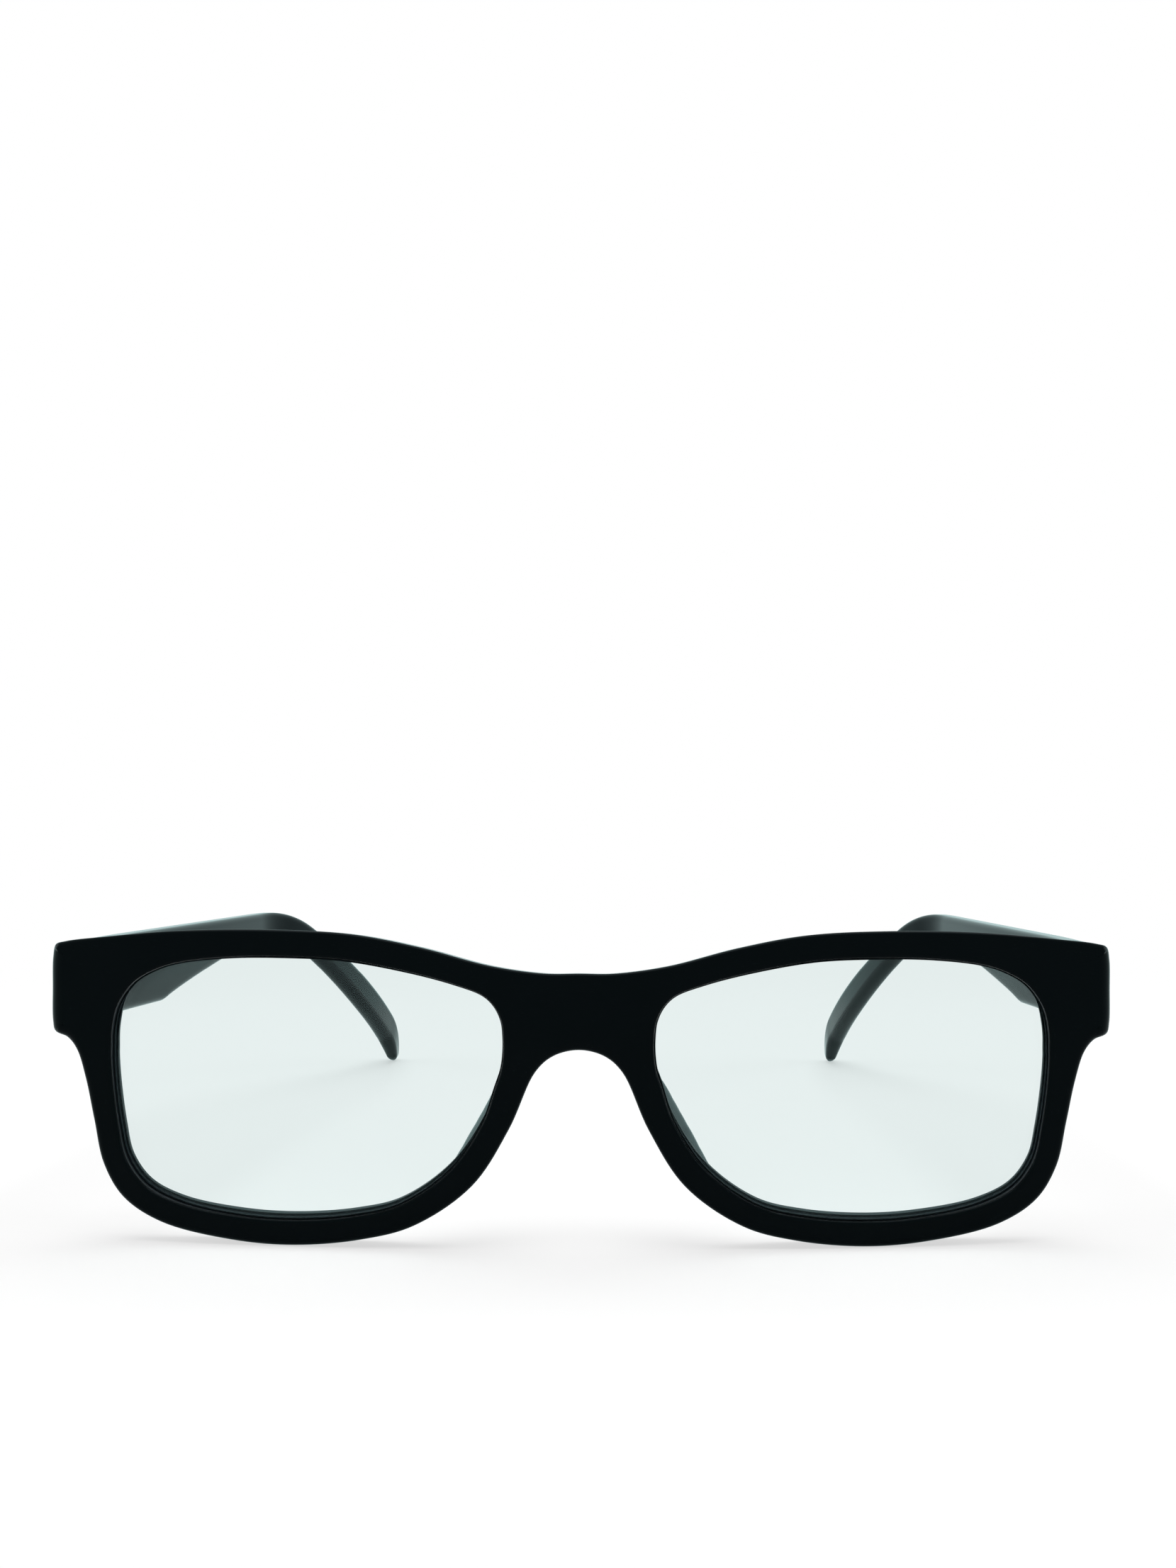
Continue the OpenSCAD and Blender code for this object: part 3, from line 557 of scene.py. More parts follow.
# Each row: a point on the eye opening as shares of its width and height, a point on the outer
# edge, and how much of the end piece is there. They run down the nose, along the bottom, up past
# the end piece and back along the brow.
ROWS = [
    (0.00, 0.64, 0, ARCH_Z, 0),
    (0.005, 0.58, 0.34 * BRIDGE_GAP / 2, ARCH_Z - 0.8, 0),
    (0.02, 0.51, 0.58 * BRIDGE_GAP / 2, ARCH_Z - 2.9, 0),
    (0.05, 0.38, ex(0.05) - 3.3, ez(0.38) - 1, 0),
    (0.13, 0.20, ex(0.13) - 2.7, ez(0.20) - 2.2, 0),
    (0.255, 0.065, ex(0.255) - 1.7, ez(0.065) - RIM_LOW + 0.6, 0),
    (0.37, 0.02, ex(0.37) - 0.8, 0.9, 0),
    (0.52, 0.00, ex(0.52) + 0.2, 0, 0),
    (0.66, 0.008, ex(0.66) + 1.2, 0.45, 0),
    (0.82, 0.05, ex(0.82) + 2.6, ez(0.05) - 2.6, 0),
    (0.91, 0.115, ex(0.91) + 3.1, ez(0.115) - 1.7, 0),
    (0.96, 0.215, ex(0.96) + 3.2, ez(0.215) - 0.8, 0),
    (0.98, 0.34, ex(0.98) + RIM_SIDE - 0.4, ez(0.34) + 0.7, 0),
    (0.995, 0.50, ex(0.995) + RIM_SIDE, ez(0.50) + 0.6, 0),
    (1.00, 0.60, END_X - 3.4, END_LOW - 2.4, 0),
    (1.00, 0.64, END_X - 2.1, END_LOW - 0.9, 0.6),
    (1.00, 0.68, END_X - 0.4, END_LOW - 0.15, 1),
    (0.998, 0.72, END_X - 0.06, END_LOW + 1.2, 1),
    (0.99, 0.78, END_X, END_Z, 1),
    (0.975, 0.83, END_X - 0.06, END_TOP - 1.6, 1),
    (0.94, 0.895, END_X - 0.4, END_TOP - 0.2, 1),
    (0.89, 0.94, END_X - 1.9, END_TOP + 0.3, 0.8),
    (0.83, 0.97, END_X - 7, END_TOP + 0.95, 0),
    (0.70, 0.995, ex(0.70) + 6, EYE_TOP + RIM_TOP - 0.25, 0),
    (0.55, 1.00, ex(0.55) + 2, EYE_TOP + RIM_TOP, 0),
    (0.40, 0.99, ex(0.40) - 1, EYE_TOP + RIM_TOP - 0.5, 0),
    (0.235, 0.946, ex(0.235) - 1.5, EYE_TOP + RIM_TOP - 2.15, 0),
    (0.121, 0.9, ex(0.12) - 4.5, BRIDGE_TOP + 0.95, 0),
    (0.052, 0.859, 0.46 * BRIDGE_GAP / 2, BRIDGE_TOP, 0),
    (0.023, 0.817, 0, BRIDGE_TOP, 0),
    (0.005, 0.76, 0, lerp(ARCH_Z, BRIDGE_TOP, 0.67), 0),
    (0.00, 0.70, 0, lerp(ARCH_Z, BRIDGE_TOP, 0.33), 0)]
print("rows round one eye:", len(ROWS))

# %% Outlines of the front
STEPS = 9                         # stations from one row to the next
LAST_ROW = len(ROWS) - 3          # the last row before the two on the middle of the bridge
COUNT = len(ROWS) * STEPS
OPEN = LAST_ROW * STEPS           # from here on a station's outer end lies inside the bridge


def through(a, b, c, d, t):
    """A point between b and c on the smooth curve that also minds a and d."""
    k1 = math.sqrt(np.linalg.norm(b - a))
    k2 = k1 + math.sqrt(np.linalg.norm(c - b))
    k3 = k2 + math.sqrt(np.linalg.norm(d - c))
    k = lerp(k1, k2, t)
    share = (k - k1) / (k2 - k1)
    p1, p2, p3 = lerp(a, b, k / k1), lerp(b, c, share), lerp(c, d, (k - k2) / (k3 - k2))
    q1, q2 = lerp(p1, p2, k / k2), lerp(p2, p3, (k - k1) / (k3 - k1))
    return lerp(q1, q2, share)


def eye_row(i):
    """A row's point on the eye opening. After the last row comes the first one again."""
    row = ROWS[i % len(ROWS)]
    return np.array([ex(row[0]), ez(row[1])])


def outer_row(i):
    """A row's point on the outer edge, or the mirror image of one past the middle."""
    mirrored = i < 0 or i > LAST_ROW
    row = ROWS[1 if i < 0 else LAST_ROW - 1 if i > LAST_ROW else i]
    return np.array([-row[2] if mirrored else row[2], row[3]])


eye_line = [through(*[eye_row(i + o) for o in (-1, 0, 1, 2)], s / STEPS)
            for i in range(len(ROWS)) for s in range(STEPS)]
outer_line = [through(*[outer_row(i + o) for o in (-1, 0, 1, 2)], s / STEPS)
              for i in range(LAST_ROW) for s in range(STEPS)] + [np.array([0, BRIDGE_TOP])]


def across(v):
    """Turns a direction along the outline into one out of it."""
    return unit(np.array([v[1], -v[0]]))


eye_in = [across(eye_line[(k + 1) % COUNT] - eye_line[k - 1]) for k in range(COUNT)]
outer_out = [np.array([0, -1])] + [across(outer_line[k + 1] - outer_line[k - 1])
                                   for k in range(1, OPEN)] + [np.array([0, 1])]
print("stations round one eye:", COUNT)

# %% The lens dome, which the groove follows
EYE_MID = np.array([ex(0.5), ez(0.5)])
dome_lean = math.asin(EYE_MID[0] / BOW_R)
DOME_X = EYE_MID[0] - LENS_R * math.sin(dome_lean)
DOME_Y = bow(EYE_MID[0]) + LENS_SET + LENS_R * math.cos(dome_lean)


def dome(p, grow=0.0):
    """Depth of the lens sphere at a place in the XZ plane, for a sphere grown by some amount."""
    return DOME_Y - math.sqrt((LENS_R + grow) ** 2 - (p[0] - DOME_X) ** 2
                              - (p[1] - EYE_MID[1]) ** 2)


print(f"middle of the lens ball: x {DOME_X:.1f}, y {DOME_Y:.1f}, z {EYE_MID[1]:.1f} mm")

# %% One section of the rim
THIRDS = (0.33, 0.67)
WALL_SHARE, STEP_SHARE = 0.4, 0.55     # most of the back that the end piece's wall and step take
WALL_SOFT = 0.2                        # rounding of that wall
LEDGE = 0.02                           # least height of the wall behind the lens


def arc(start, stop, steps=4):
    """Even steps from one angle to another, both in degrees, as radians."""
    return [math.radians(lerp(start, stop, i / steps)) for i in range(steps + 1)]


def rim_section(k):
    """Points round one section, and the two that bound what lies on the middle of the bridge."""
    # p is on the eye opening and q on the outer edge. n points into the rim, and m out of it.
    p, n = eye_line[k], eye_in[k]
    i, t = divmod(k, STEPS)
    e = lerp(ROWS[i][4], ROWS[(i + 1) % len(ROWS)][4], t / STEPS)
    if k > OPEN:
        m, share = np.array([0.0, 0.0]), (k - OPEN) / (COUNT - OPEN)
        low, high = [[np.array([0, z + way * (inset + LEAD)]) for inset in insets]
                     for z, way, insets in ((ARCH_Z, 1, (EDGE_R, BACK_R)),
                                            (BRIDGE_TOP, -1, (TOP_R - DRAFT, BACK_R)))]
        q_front, q_back = lerp(high[0], low[0], share), lerp(high[1], low[1], share)
    else:
        m = outer_out[k]
        q_back = outer_line[k]
        q_front = q_back + m * DRAFT * (max(0, m[1]) ** 2 + e * m[0] ** 2)
    r_front = lerp(EDGE_R, TOP_R, max(0, m[1]) ** 2) + END_SOFT * e * abs(m[0])
    r_back = lerp(BACK_R, RETURN_R, e)
    depth = lerp(FRONT_T, END_T, e)
    points = []

    def at(place, y):
        points.append((place[0], bow(place[0]) + y, place[1]))

    # The edge of the eye opening, the front face, and the outer edge with its two roundings.
    for a in arc(0, 90):
        at(p + n * EYE_R * (1 - math.cos(a)), EYE_R * (1 - math.sin(a)))
    for share in (0, 0.25, 0.5, 0.75, 1):
        at(lerp(p + n * (EYE_R + LEAD), q_front - m * (r_front + LEAD), share), 0)
    first = len(points) - 1
    for a in arc(0, 90, steps=6):
        at(q_front - m * r_front * (1 - math.sin(a)), r_front * (1 - math.cos(a)))
    for share in (*THIRDS, 1):
        at(lerp(q_front, q_back, share), lerp(r_front, depth - r_back - LEAD, share))
    for a in arc(90, 0):
        at(q_back - m * r_back * (1 - math.sin(a)), depth - r_back * (1 - math.cos(a)))

    # The lip is full below the lens and on its outer side, and fades out at the nose and the brow.
    lip = LIP * smooth(LIP_OUT * n[0] - n[1] + LIP_REACH)
    brim, r_brim = p - n * lip, lerp(BACK_R, LIP_R, lip / LIP)

    # The end piece's back, the step down to the back of the rim, and the way to the lip.
    back_end, back_in = q_back - m * (r_back + LEAD), brim + n * (r_brim + LEAD)
    last = len(points)
    at(back_end, depth)
    way = back_in - back_end
    length = np.linalg.norm(way)
    wall = min(RETURN_W - r_back - LEAD, WALL_SHARE * length)
    step = min(RETURN_W - r_back - LEAD + RETURN_R, STEP_SHARE * length)
    soft = WALL_SOFT * e
    for along, y in ((wall - soft, depth), (wall, depth - soft), (step, FRONT_T + soft),
                     (step + soft, FRONT_T)):
        at(back_end + way * along / length, y)
    foot = back_end + way * (step + soft) / length
    for share in (*THIRDS, 1):
        at(lerp(foot, back_in, share), FRONT_T)

    # The lip's rounding, the wall behind the lens, and the groove.
    for a in arc(0, 90, steps=3):
        at(brim + n * r_brim * (1 - math.sin(a)), FRONT_T - r_brim * (1 - math.cos(a)))
    lens_back = LENS_T / 2 + LENS_PLAY
    at(brim, min(dome(brim) + lens_back - bow(brim[0]), FRONT_T - r_brim - LEDGE))
    at(p, dome(p) + lens_back - bow(p[0]))
    for place, shift in ((p, 1), (p + n * GROOVE_D, 1), (p + n * GROOVE_D, -1), (p, -1)):
        points.append((place[0], dome(place) + shift * GROOVE_W / 2, place[1]))
    return points, first, last


sections = [rim_section(k) for k in range(COUNT)]
RING, FIRST, LAST = len(sections[0][0]), sections[0][1], sections[0][2]
print("points in one section:", RING)

# %% Build the front
half = [point for section in sections for point in section[0]]
places = [(k, j) for k in range(COUNT) for j in range(RING)
          if not (k >= OPEN and FIRST <= j < LAST)]
half_faces = [(k * RING + j, (k + 1) % COUNT * RING + j,
               (k + 1) % COUNT * RING + (j + 1) % RING, k * RING + (j + 1) % RING)
              for k, j in places]
mirrored = [(-x, y, z) for x, y, z in half]
mirrored_faces = [tuple(len(half) + v for v in reversed(face)) for face in half_faces]
CUT_FACES = 7        # the last faces of a section, the groove's and those beside it, are milled
cut = [i for i, (k, j) in enumerate(places) if j >= RING - CUT_FACES]
front = new_piece("polished_front", half + mirrored, half_faces + mirrored_faces, tumbled,
                  second=milled, second_faces=cut + [len(places) + i for i in cut])

# %% Pockets for the front hinge leaves
GROOVE_WALL, LEAF_MARGIN, KNUCKLE_D, PIN_INSET = 0.1, 0.6, 2.6, 1.7
LEAF_T, LEAF_PLAY, FRONT_LEAF_H, FRONT_RISE = 0.9, 0.05, 8.8, 0.1
PAST = 1             # how far a cutter reaches past the face that it enters
LEAF_X0 = ex(1) + GROOVE_D + GROOVE_WALL
LEAF_X1 = LEAF_X0 + LEAF_MARGIN + KNUCKLE_D
PIN_X = LEAF_X1 - KNUCKLE_D / 2
FACE_X = PIN_X + PIN_INSET
LEAF_BACK = bow(PIN_X) + FRONT_T + FRONT_RISE
for _, side in SIDES:
    inner, outer = sorted((side * (LEAF_X0 - LEAF_PLAY), side * (LEAF_X1 + LEAF_PLAY)))
    pocket(front, (inner, LEAF_BACK - LEAF_T - LEAF_PLAY, END_Z - FRONT_LEAF_H / 2 - LEAF_PLAY),
           (outer, LEAF_BACK + PAST, END_Z + FRONT_LEAF_H / 2 + LEAF_PLAY))
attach(front, "front")
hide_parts("front_frame")
print("front with its two pockets:", len(front.data.polygons), "faces")

# %% [markdown]
# ## Lenses
#
# A lens for such a frame is a slice of a hollow ball, ground at its edge to a narrow tongue that
# snaps into the rim's groove. Both faces have the same middle point, so the lens doesn't magnify.
# It could be cut from two spheres, but that leaves long thin faces, which spoil the reflections.
# Here each lens is a set of loops that shrink towards its middle on the front ball, and grow again
# on the back ball, with the tongue between them. Many loops keep the reflections smooth.

# %% Lenses
LENS_LOOPS = 14
HUB = 0.02               # the innermost loop, as a share of the lens
SAFETY_BEVEL = 0.12      # takes the sharpness off the ground edges


def lens_loop(edge_grow, share, ball_grow):
    """A loop on a lens face, at a share of the way from the middle of the lens to its edge."""
    loop = []
    for k in range(COUNT):
        place = lerp(EYE_MID, eye_line[k] + eye_in[k] * edge_grow, share)
        loop.append((place[0], dome(place, ball_grow), place[1]))
    return loop


shares = [HUB + (1 - HUB) * i / LENS_LOOPS for i in range(LENS_LOOPS + 1)]
tongue = GROOVE_W / 2 - LENS_PLAY
body_edge, tongue_edge = -LENS_PLAY, GROOVE_D - LENS_PLAY
loops = [lens_loop(body_edge - SAFETY_BEVEL, s, LENS_T / 2) for s in shares]
loops += [lens_loop(body_edge, 1, LENS_T / 2 - SAFETY_BEVEL), lens_loop(body_edge, 1, tongue),
          lens_loop(tongue_edge - SAFETY_BEVEL, 1, tongue),
          lens_loop(tongue_edge, 1, tongue - SAFETY_BEVEL),
          lens_loop(tongue_edge, 1, SAFETY_BEVEL - tongue),
          lens_loop(tongue_edge - SAFETY_BEVEL, 1, -tongue), lens_loop(body_edge, 1, -tongue),
          lens_loop(body_edge, 1, SAFETY_BEVEL - LENS_T / 2)]
loops += [lens_loop(body_edge - SAFETY_BEVEL, s, -LENS_T / 2) for s in reversed(shares)]
lens_points = [point for loop in loops for point in loop]
for name, side in SIDES:
    lens = new_piece(f"{name}_clear_lens", [(side * x, y, z) for x, y, z in lens_points],
                     skin_faces(len(loops), COUNT), clear, sharp=25, second=ground_painted_shade,
                     second_faces=range(LENS_LOOPS * COUNT,
                                        (len(loops) - LENS_LOOPS - 1) * COUNT))
    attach(lens, "front")
    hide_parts(f"{name}_lens")

# %% [markdown]
# ## Nose pads
#
# The pads that carry the weight on the nose are small fins of the same plastic. They are moulded
# on their own, lacquered and bonded to the back of the rims, and their free edges are round. They
# could be sculpted, but a rule keeps both alike and lets a size change. So each is a stack of
# sections from its lower to its upper end. A section starts at the rim, leans away from the nose
# as it goes back and ends in a rounded edge.

# %% Nose pads
PAD_DEPTH, PAD_T, PAD_FLARE, PAD_INSET, GLUE_GAP = 5.4, 1.9, 1.8, 2.6, 0.05
PAD_LOW, PAD_HIGH, PAD_ROWS = 0.14, 0.56, 42
PAD_WAVE, PAD_FULL = (0.03, 0.94), 0.65      # part of a half wave that the fin follows, flattened
PAD_STEPS = 5                                # points from one corner of the profile to the next
PAD_BEVEL, PAD_SHARP = 0.25, 50
EDGE_BLEND = 0.05                            # share of the opening's height that is evened out

# Each corner of the profile: shares of the lean away from the nose and of the depth, and where it
# is in the thickness, from 0 on the nose's side to 1 on the eye's.
PAD_SIDE = [(0, 0, 0), (0.35, 0.5, 0), (0.8, 0.88, 0.02), (1, 1, 0.24), (1, 0.96, 0.62),
            (1, 0.8, 0.8), (0.45, 0.4, 1), (0, 0, 1)]
# The rim's edge beside the nose, from low to high: shares of the opening's height and width.
NOSE_EDGE = [(0.10, 0.20), (0.20, 0.13), (0.38, 0.05), (0.51, 0.02), (0.60, 0.0)]


def nose_edge(v):
    """The rim's edge at a height, as the mean of three places so that no corner is left."""
    heights, edges = [place[0] for place in NOSE_EDGE], [ex(place[1]) for place in NOSE_EDGE]
    near = [np.interp(v + d, heights, edges) for d in (-EDGE_BLEND, 0, EDGE_BLEND)]
    return sum(near) / len(near)


corners = [np.array(p, float) for p in PAD_SIDE]
before = [2 * corners[0] - corners[1]] + corners
after = corners[1:] + [2 * corners[-1] - corners[-2]]
pad_profile = [through(before[i], corners[i], after[i], after[min(i + 1, len(after) - 1)],
                       s / PAD_STEPS)
               for i in range(len(corners) - 1) for s in range(PAD_STEPS)] + [corners[-1]]
pad_points = []
for i in range(PAD_ROWS + 1):
    t = i / PAD_ROWS
    v = lerp(PAD_LOW, PAD_HIGH, t)
    grow = math.sin(math.pi * lerp(*PAD_WAVE, t)) ** PAD_FULL
    for flare, deep, thick in pad_profile:
        x = nose_edge(v) - PAD_INSET + grow * PAD_FLARE * flare + PAD_T * thick
        pad_points.append((x, bow(x) + FRONT_T + GLUE_GAP + grow * PAD_DEPTH * deep, ez(v)))
for name, side in SIDES:
    pad = new_piece(f"{name}_bonded_pad", [(side * x, y, z) for x, y, z in pad_points],
                    skin_faces(PAD_ROWS + 1, len(pad_profile)), lacquered, sharp=PAD_SHARP)
    round_edges(pad, PAD_BEVEL, segments=3, above=PAD_SHARP)
    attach(pad, "front")
    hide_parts(f"{name}_nose_pad")

# %% [markdown]
# ## Temples
#
# A temple is moulded with one section swept along its length: straight back from the hinge, down
# round the ear, on in a long gentle curve, and then quickly down where its tip rests on the table.
# The top edge is the line that rules it, so the sections hang from that line and turn with it. The
# depth below the line changes on the way: deep at the hinge, slim before the ear, a little broader
# behind it, and drawn to a slim rounded end. A curve with a bevel could sweep one section, but not
# one whose depth and corners change. The temple also runs inwards to hold the head. The hinge end
# has small rounded edges, which show as a fine seam where it meets the end piece.

# %% Temple line
TEMPLE_H, EAR_T = 11.0, 3.4          # depth at the hinge, and thickness behind the ear
STRAIGHT, EAR_BEND_R, EAR_CURVE_R = 77.0, 28.0, 580.0
DROP, EAR_ANGLE = 1.8, 30.0          # degrees below the level, before and behind the ear
TIP_RUN, TIP_CURVE_R = 13.0, 13.5
BUTT_GAP, TEMPLE_LEAF_L = 0.1, 10.0
HINGE_RUN = TEMPLE_LEAF_L + 3        # stretch round the hinge leaf that stays straight
BUTT_Y = bow(END_X) + END_T + BUTT_GAP
BEND_L = EAR_BEND_R * math.radians(EAR_ANGLE - DROP)
CURVE_S = STRAIGHT + BEND_L


def edge_angle(s, length):
    """Slope of the top edge below the level, in degrees, at s on a temple of this length."""
    tip_s = length - TIP_RUN
    if s < STRAIGHT:
        return DROP
    if s < CURVE_S:
        return lerp(DROP, EAR_ANGLE, (s - STRAIGHT) / BEND_L)
    return EAR_ANGLE + math.degrees((min(s, tip_s) - CURVE_S) / EAR_CURVE_R
                                    + max(0, s - tip_s) / TIP_CURVE_R)


def slope(angle):
    """The direction, as depth and height, of a line at an angle below the level."""
    a = math.radians(angle)
    return np.array([math.cos(a), -math.sin(a)])


def arc_way(radius, a, b):
    """The way along an arc between two angles below the level."""
    a, b = math.radians(a), math.radians(b)
    return radius * np.array([math.sin(b) - math.sin(a), math.cos(b) - math.cos(a)])


bend_start = np.array([BUTT_Y, END_TOP]) + STRAIGHT * slope(DROP)
bend_end = bend_start + arc_way(EAR_BEND_R, DROP, EAR_ANGLE)


def edge_point(s, length):
    """Depth and height of the top edge at s, on a temple of this length."""
    angle, tip_angle = edge_angle(s, length), edge_angle(length - TIP_RUN, length)
    if s < STRAIGHT:
        return np.array([BUTT_Y, END_TOP]) + s * slope(DROP)
    if s < CURVE_S:
        return bend_start + arc_way(EAR_BEND_R, DROP, angle)
    if s < length - TIP_RUN:
        return bend_end + arc_way(EAR_CURVE_R, EAR_ANGLE, angle)
    return bend_end + arc_way(EAR_CURVE_R, EAR_ANGLE, tip_angle) \
        + arc_way(TIP_CURVE_R, tip_angle, angle)


# %% Temple sections
TAPER_H, WAIST_H, PADDLE_H = 6.0, 4.4, 6.4           # depths along the temple
CORNER_S, TAPER_S, PADDLE_S = 28.0, 58.0, STRAIGHT + 43
CORNER_EASE, TIP_EASE = 0.85, 2.4                    # powers that shape the two tapers
TIP_TAPER, TIP_T, TIP_H, TIP_ROUND, TIP_BLUNT = 11.5, 1.7, 3.2, 1.6, 0.03
CORNER_R, EAR_R, EAR_R_RUN = 1.1, 1.5, 20.0          # the edges get rounder behind the ear
CONVERGE, EAR_INSET, EAR_RUN, EAR_EASE, SOFT_RUN = 5.1, 15.6, 67.0, 0.84, 5.0
ROUND_SHARE, FLAT_SHARE = 0.9, 0.4                   # most that rounding and flat strip may take


def tapered(full, end, s, length):
    """A size at s, which is full until the last stretch draws it to its end value."""
    return lerp(full, end, (max(0, s - length + TIP_TAPER) / TIP_TAPER) ** TIP_EASE)


def temple_depth(s, length):
    """How far the section at s reaches below the top edge."""
    if s < CORNER_S:
        depth = TEMPLE_H
    elif s < TAPER_S:
        depth = lerp(TEMPLE_H, TAPER_H, ((s - CORNER_S) / (TAPER_S - CORNER_S)) ** CORNER_EASE)
    elif s < STRAIGHT:
        depth = lerp(TAPER_H, WAIST_H, smooth((s - TAPER_S) / (STRAIGHT - TAPER_S)))
    else:
        depth = lerp(WAIST_H, PADDLE_H, smooth((s - STRAIGHT) / (PADDLE_S - STRAIGHT)))
    return tapered(depth, TIP_H, s, length)


def past(d):
    """Distance past a place, with a short soft start."""
    return 0 if d < -SOFT_RUN else d if d > SOFT_RUN else (d + SOFT_RUN) ** 2 / (4 * SOFT_RUN)


def temple_middle(s, length):
    """Middle of the section at s, and the section's lean in radians."""
    lean = math.radians(edge_angle(s, length) * min(1, max(0, s) / HINGE_RUN))
    y, z = edge_point(s, length) \
        - np.array([math.sin(lean), math.cos(lean)]) * temple_depth(s, length) / 2
    a, b = CONVERGE / (STRAIGHT - HINGE_RUN), EAR_INSET / (length - STRAIGHT)
    x = END_X - TEMPLE_T / 2 - a * past(s - HINGE_RUN) \
        - ((1 + EAR_EASE) * b - a) * past(s - STRAIGHT) \
        + EAR_EASE * b * max(0, s - STRAIGHT) ** 2 / (length - STRAIGHT)
    return np.array([x, y, z]), lean


def temple_ring(s, length, arc_steps=6, inset=0.0):
    """A section with rounded corners at s, on a temple of this length."""
    t = (s - length + TIP_ROUND) / TIP_ROUND
    share = 1 if t <= 0 else math.sqrt(max(TIP_BLUNT, 1 - t * t))
    thick = tapered(lerp(TEMPLE_T, EAR_T, min(1, s / CURVE_S)), TIP_T, s, length)
    w = (thick / 2 - inset) * share
    h = (temple_depth(s, length) / 2 - inset) * share
    middle, lean = temple_middle(s, length)
    r = min(lerp(CORNER_R, EAR_R, smooth((s - STRAIGHT) / EAR_R_RUN)) - inset, ROUND_SHARE * w)
    lead = min(LEAD, FLAT_SHARE * (w - r))
    ring = []
    for sx, sz, first in ((1, 1, 0), (-1, 1, 90), (-1, -1, 180), (1, -1, 270)):
        places = [(sx * (w - r) + r * math.cos(a), sz * (h - r) + r * math.sin(a))
                  for a in arc(first, first + 90, arc_steps)]
        if arc_steps > 2:
            start, stop = places[0], places[-1]
            before, after = (0, -sz * lead), (-sx * lead, 0)
            if first in (90, 270):
                before, after = after, before
            places = [(start[0] + before[0], start[1] + before[1])] + places \
                + [(stop[0] + after[0], stop[1] + after[1])]
        ring += [(middle[0] + a, middle[1] + b * math.sin(lean), middle[2] + b * math.cos(lean))
                 for a, b in places]
    return ring


# The temple is as long as it takes to reach the table, which a few corrections find.
PROBES_PER_MM, CORRECTIONS = 4, 5
temple_l = STRAIGHT + EAR_RUN
for _ in range(CORRECTIONS):
    lowest = min(p[2] for i in range(int(TIP_RUN * PROBES_PER_MM) + 1)
                 for p in temple_ring(temple_l - TIP_RUN + i / PROBES_PER_MM, temple_l,
                                      arc_steps=2))
    temple_l += lowest / math.sin(math.radians(edge_angle(temple_l - TIP_RUN, temple_l)))
print(f"temple length along its top edge: {temple_l:.2f} mm")

# %% Build the temples
END_ROUND = 0.3                      # rounding of the hinge end
LONG_STATIONS, TIP_STATIONS, CAP_STATIONS = 120, 30, 10
CAP_START = 8                        # degrees into the tip's rounding, where its own rings start
LEAF_SETBACK, TEMPLE_LEAF_H = 1.2, 6.0
TEMPLE_LEAF_Y = BUTT_Y + LEAF_SETBACK
rings = [temple_ring(END_ROUND * (1 - math.cos(a)), temple_l, inset=END_ROUND * (1 - math.sin(a)))
         for a in arc(0, 90)]
tip_start, body_l = temple_l - TIP_RUN, temple_l - TIP_ROUND
rings += [temple_ring(lerp(END_ROUND, tip_start, i / LONG_STATIONS), temple_l)
          for i in range(1, LONG_STATIONS + 1)]
rings += [temple_ring(lerp(tip_start, body_l, i / TIP_STATIONS), temple_l)
          for i in range(1, TIP_STATIONS + 1)]
rings += [temple_ring(body_l + TIP_ROUND * math.sin(a), temple_l)
          for a in arc(CAP_START, 90, steps=CAP_STATIONS)]
temple_points = [point for ring in rings for point in ring]
for name, side in SIDES:
    temple = new_piece(f"{name}_polished_temple", [(side * x, y, z) for x, y, z in temple_points],
                       skin_faces(len(rings), len(rings[0])), buffed, sharp=40)
    inner, outer = sorted((side * (FACE_X - PAST), side * (FACE_X + LEAF_T + LEAF_PLAY)))
    pocket(temple, (inner, TEMPLE_LEAF_Y - LEAF_PLAY, END_Z - TEMPLE_LEAF_H / 2 - LEAF_PLAY),
           (outer, TEMPLE_LEAF_Y + TEMPLE_LEAF_L + LEAF_PLAY,
            END_Z + TEMPLE_LEAF_H / 2 + LEAF_PLAY))
    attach(temple, f"{name}_arm")
    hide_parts(f"{name}_temple")

# %% [markdown]
# ## Hinge leaves
#
# The CAD model holds the hinge leaves exactly, with their knuckles and holes. They could be
# modelled anew, but that would only repeat it, so their shape is kept. A stamped part is tumbled
# until its edges are soft, though, and a sharp edge never catches the light. So each leaf is a
# merged copy of its CAD mesh with a fine bevel.

# %% Hinge leaves
STAMPED_EDGE = 0.08
METAL_BEVEL, METAL_SHARP = 40, 50       # degrees: which edges are bevelled, and which stay sharp


def softened(name, node, body, material):
    """A copy of a CAD node with its triangles merged and its edges bevelled."""
    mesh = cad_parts[node].data.copy()
    mesh.materials.clear()
    shape = bmesh.new()
    shape.from_mesh(mesh)
    bmesh.ops.remove_doubles(shape, verts=shape.verts, dist=MERGE)
    bmesh.ops.dissolve_limit(shape, angle_limit=math.radians(1), verts=shape.verts,
                             edges=shape.edges)
    shape.to_mesh(mesh)
    shape.free()
    mesh.materials.append(material)
    piece = add_object(name, mesh)
    round_edges(piece, STAMPED_EDGE, segments=2, above=METAL_BEVEL)
    shade(piece.data, METAL_SHARP)
    even = piece.modifiers.new("even shading", "WEIGHTED_NORMAL")
    even.keep_sharp = True
    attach(piece, body)
    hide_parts(node)
    print(f"{name}: {len(piece.data.polygons)} faces")


for name, _ in SIDES:
    softened(f"{name}_front_hinge_plate", f"{name}_front_hinge_leaf", "front", nickel_silver)
    softened(f"{name}_temple_hinge_plate", f"{name}_temple_hinge_leaf", f"{name}_arm",
             nickel_silver)

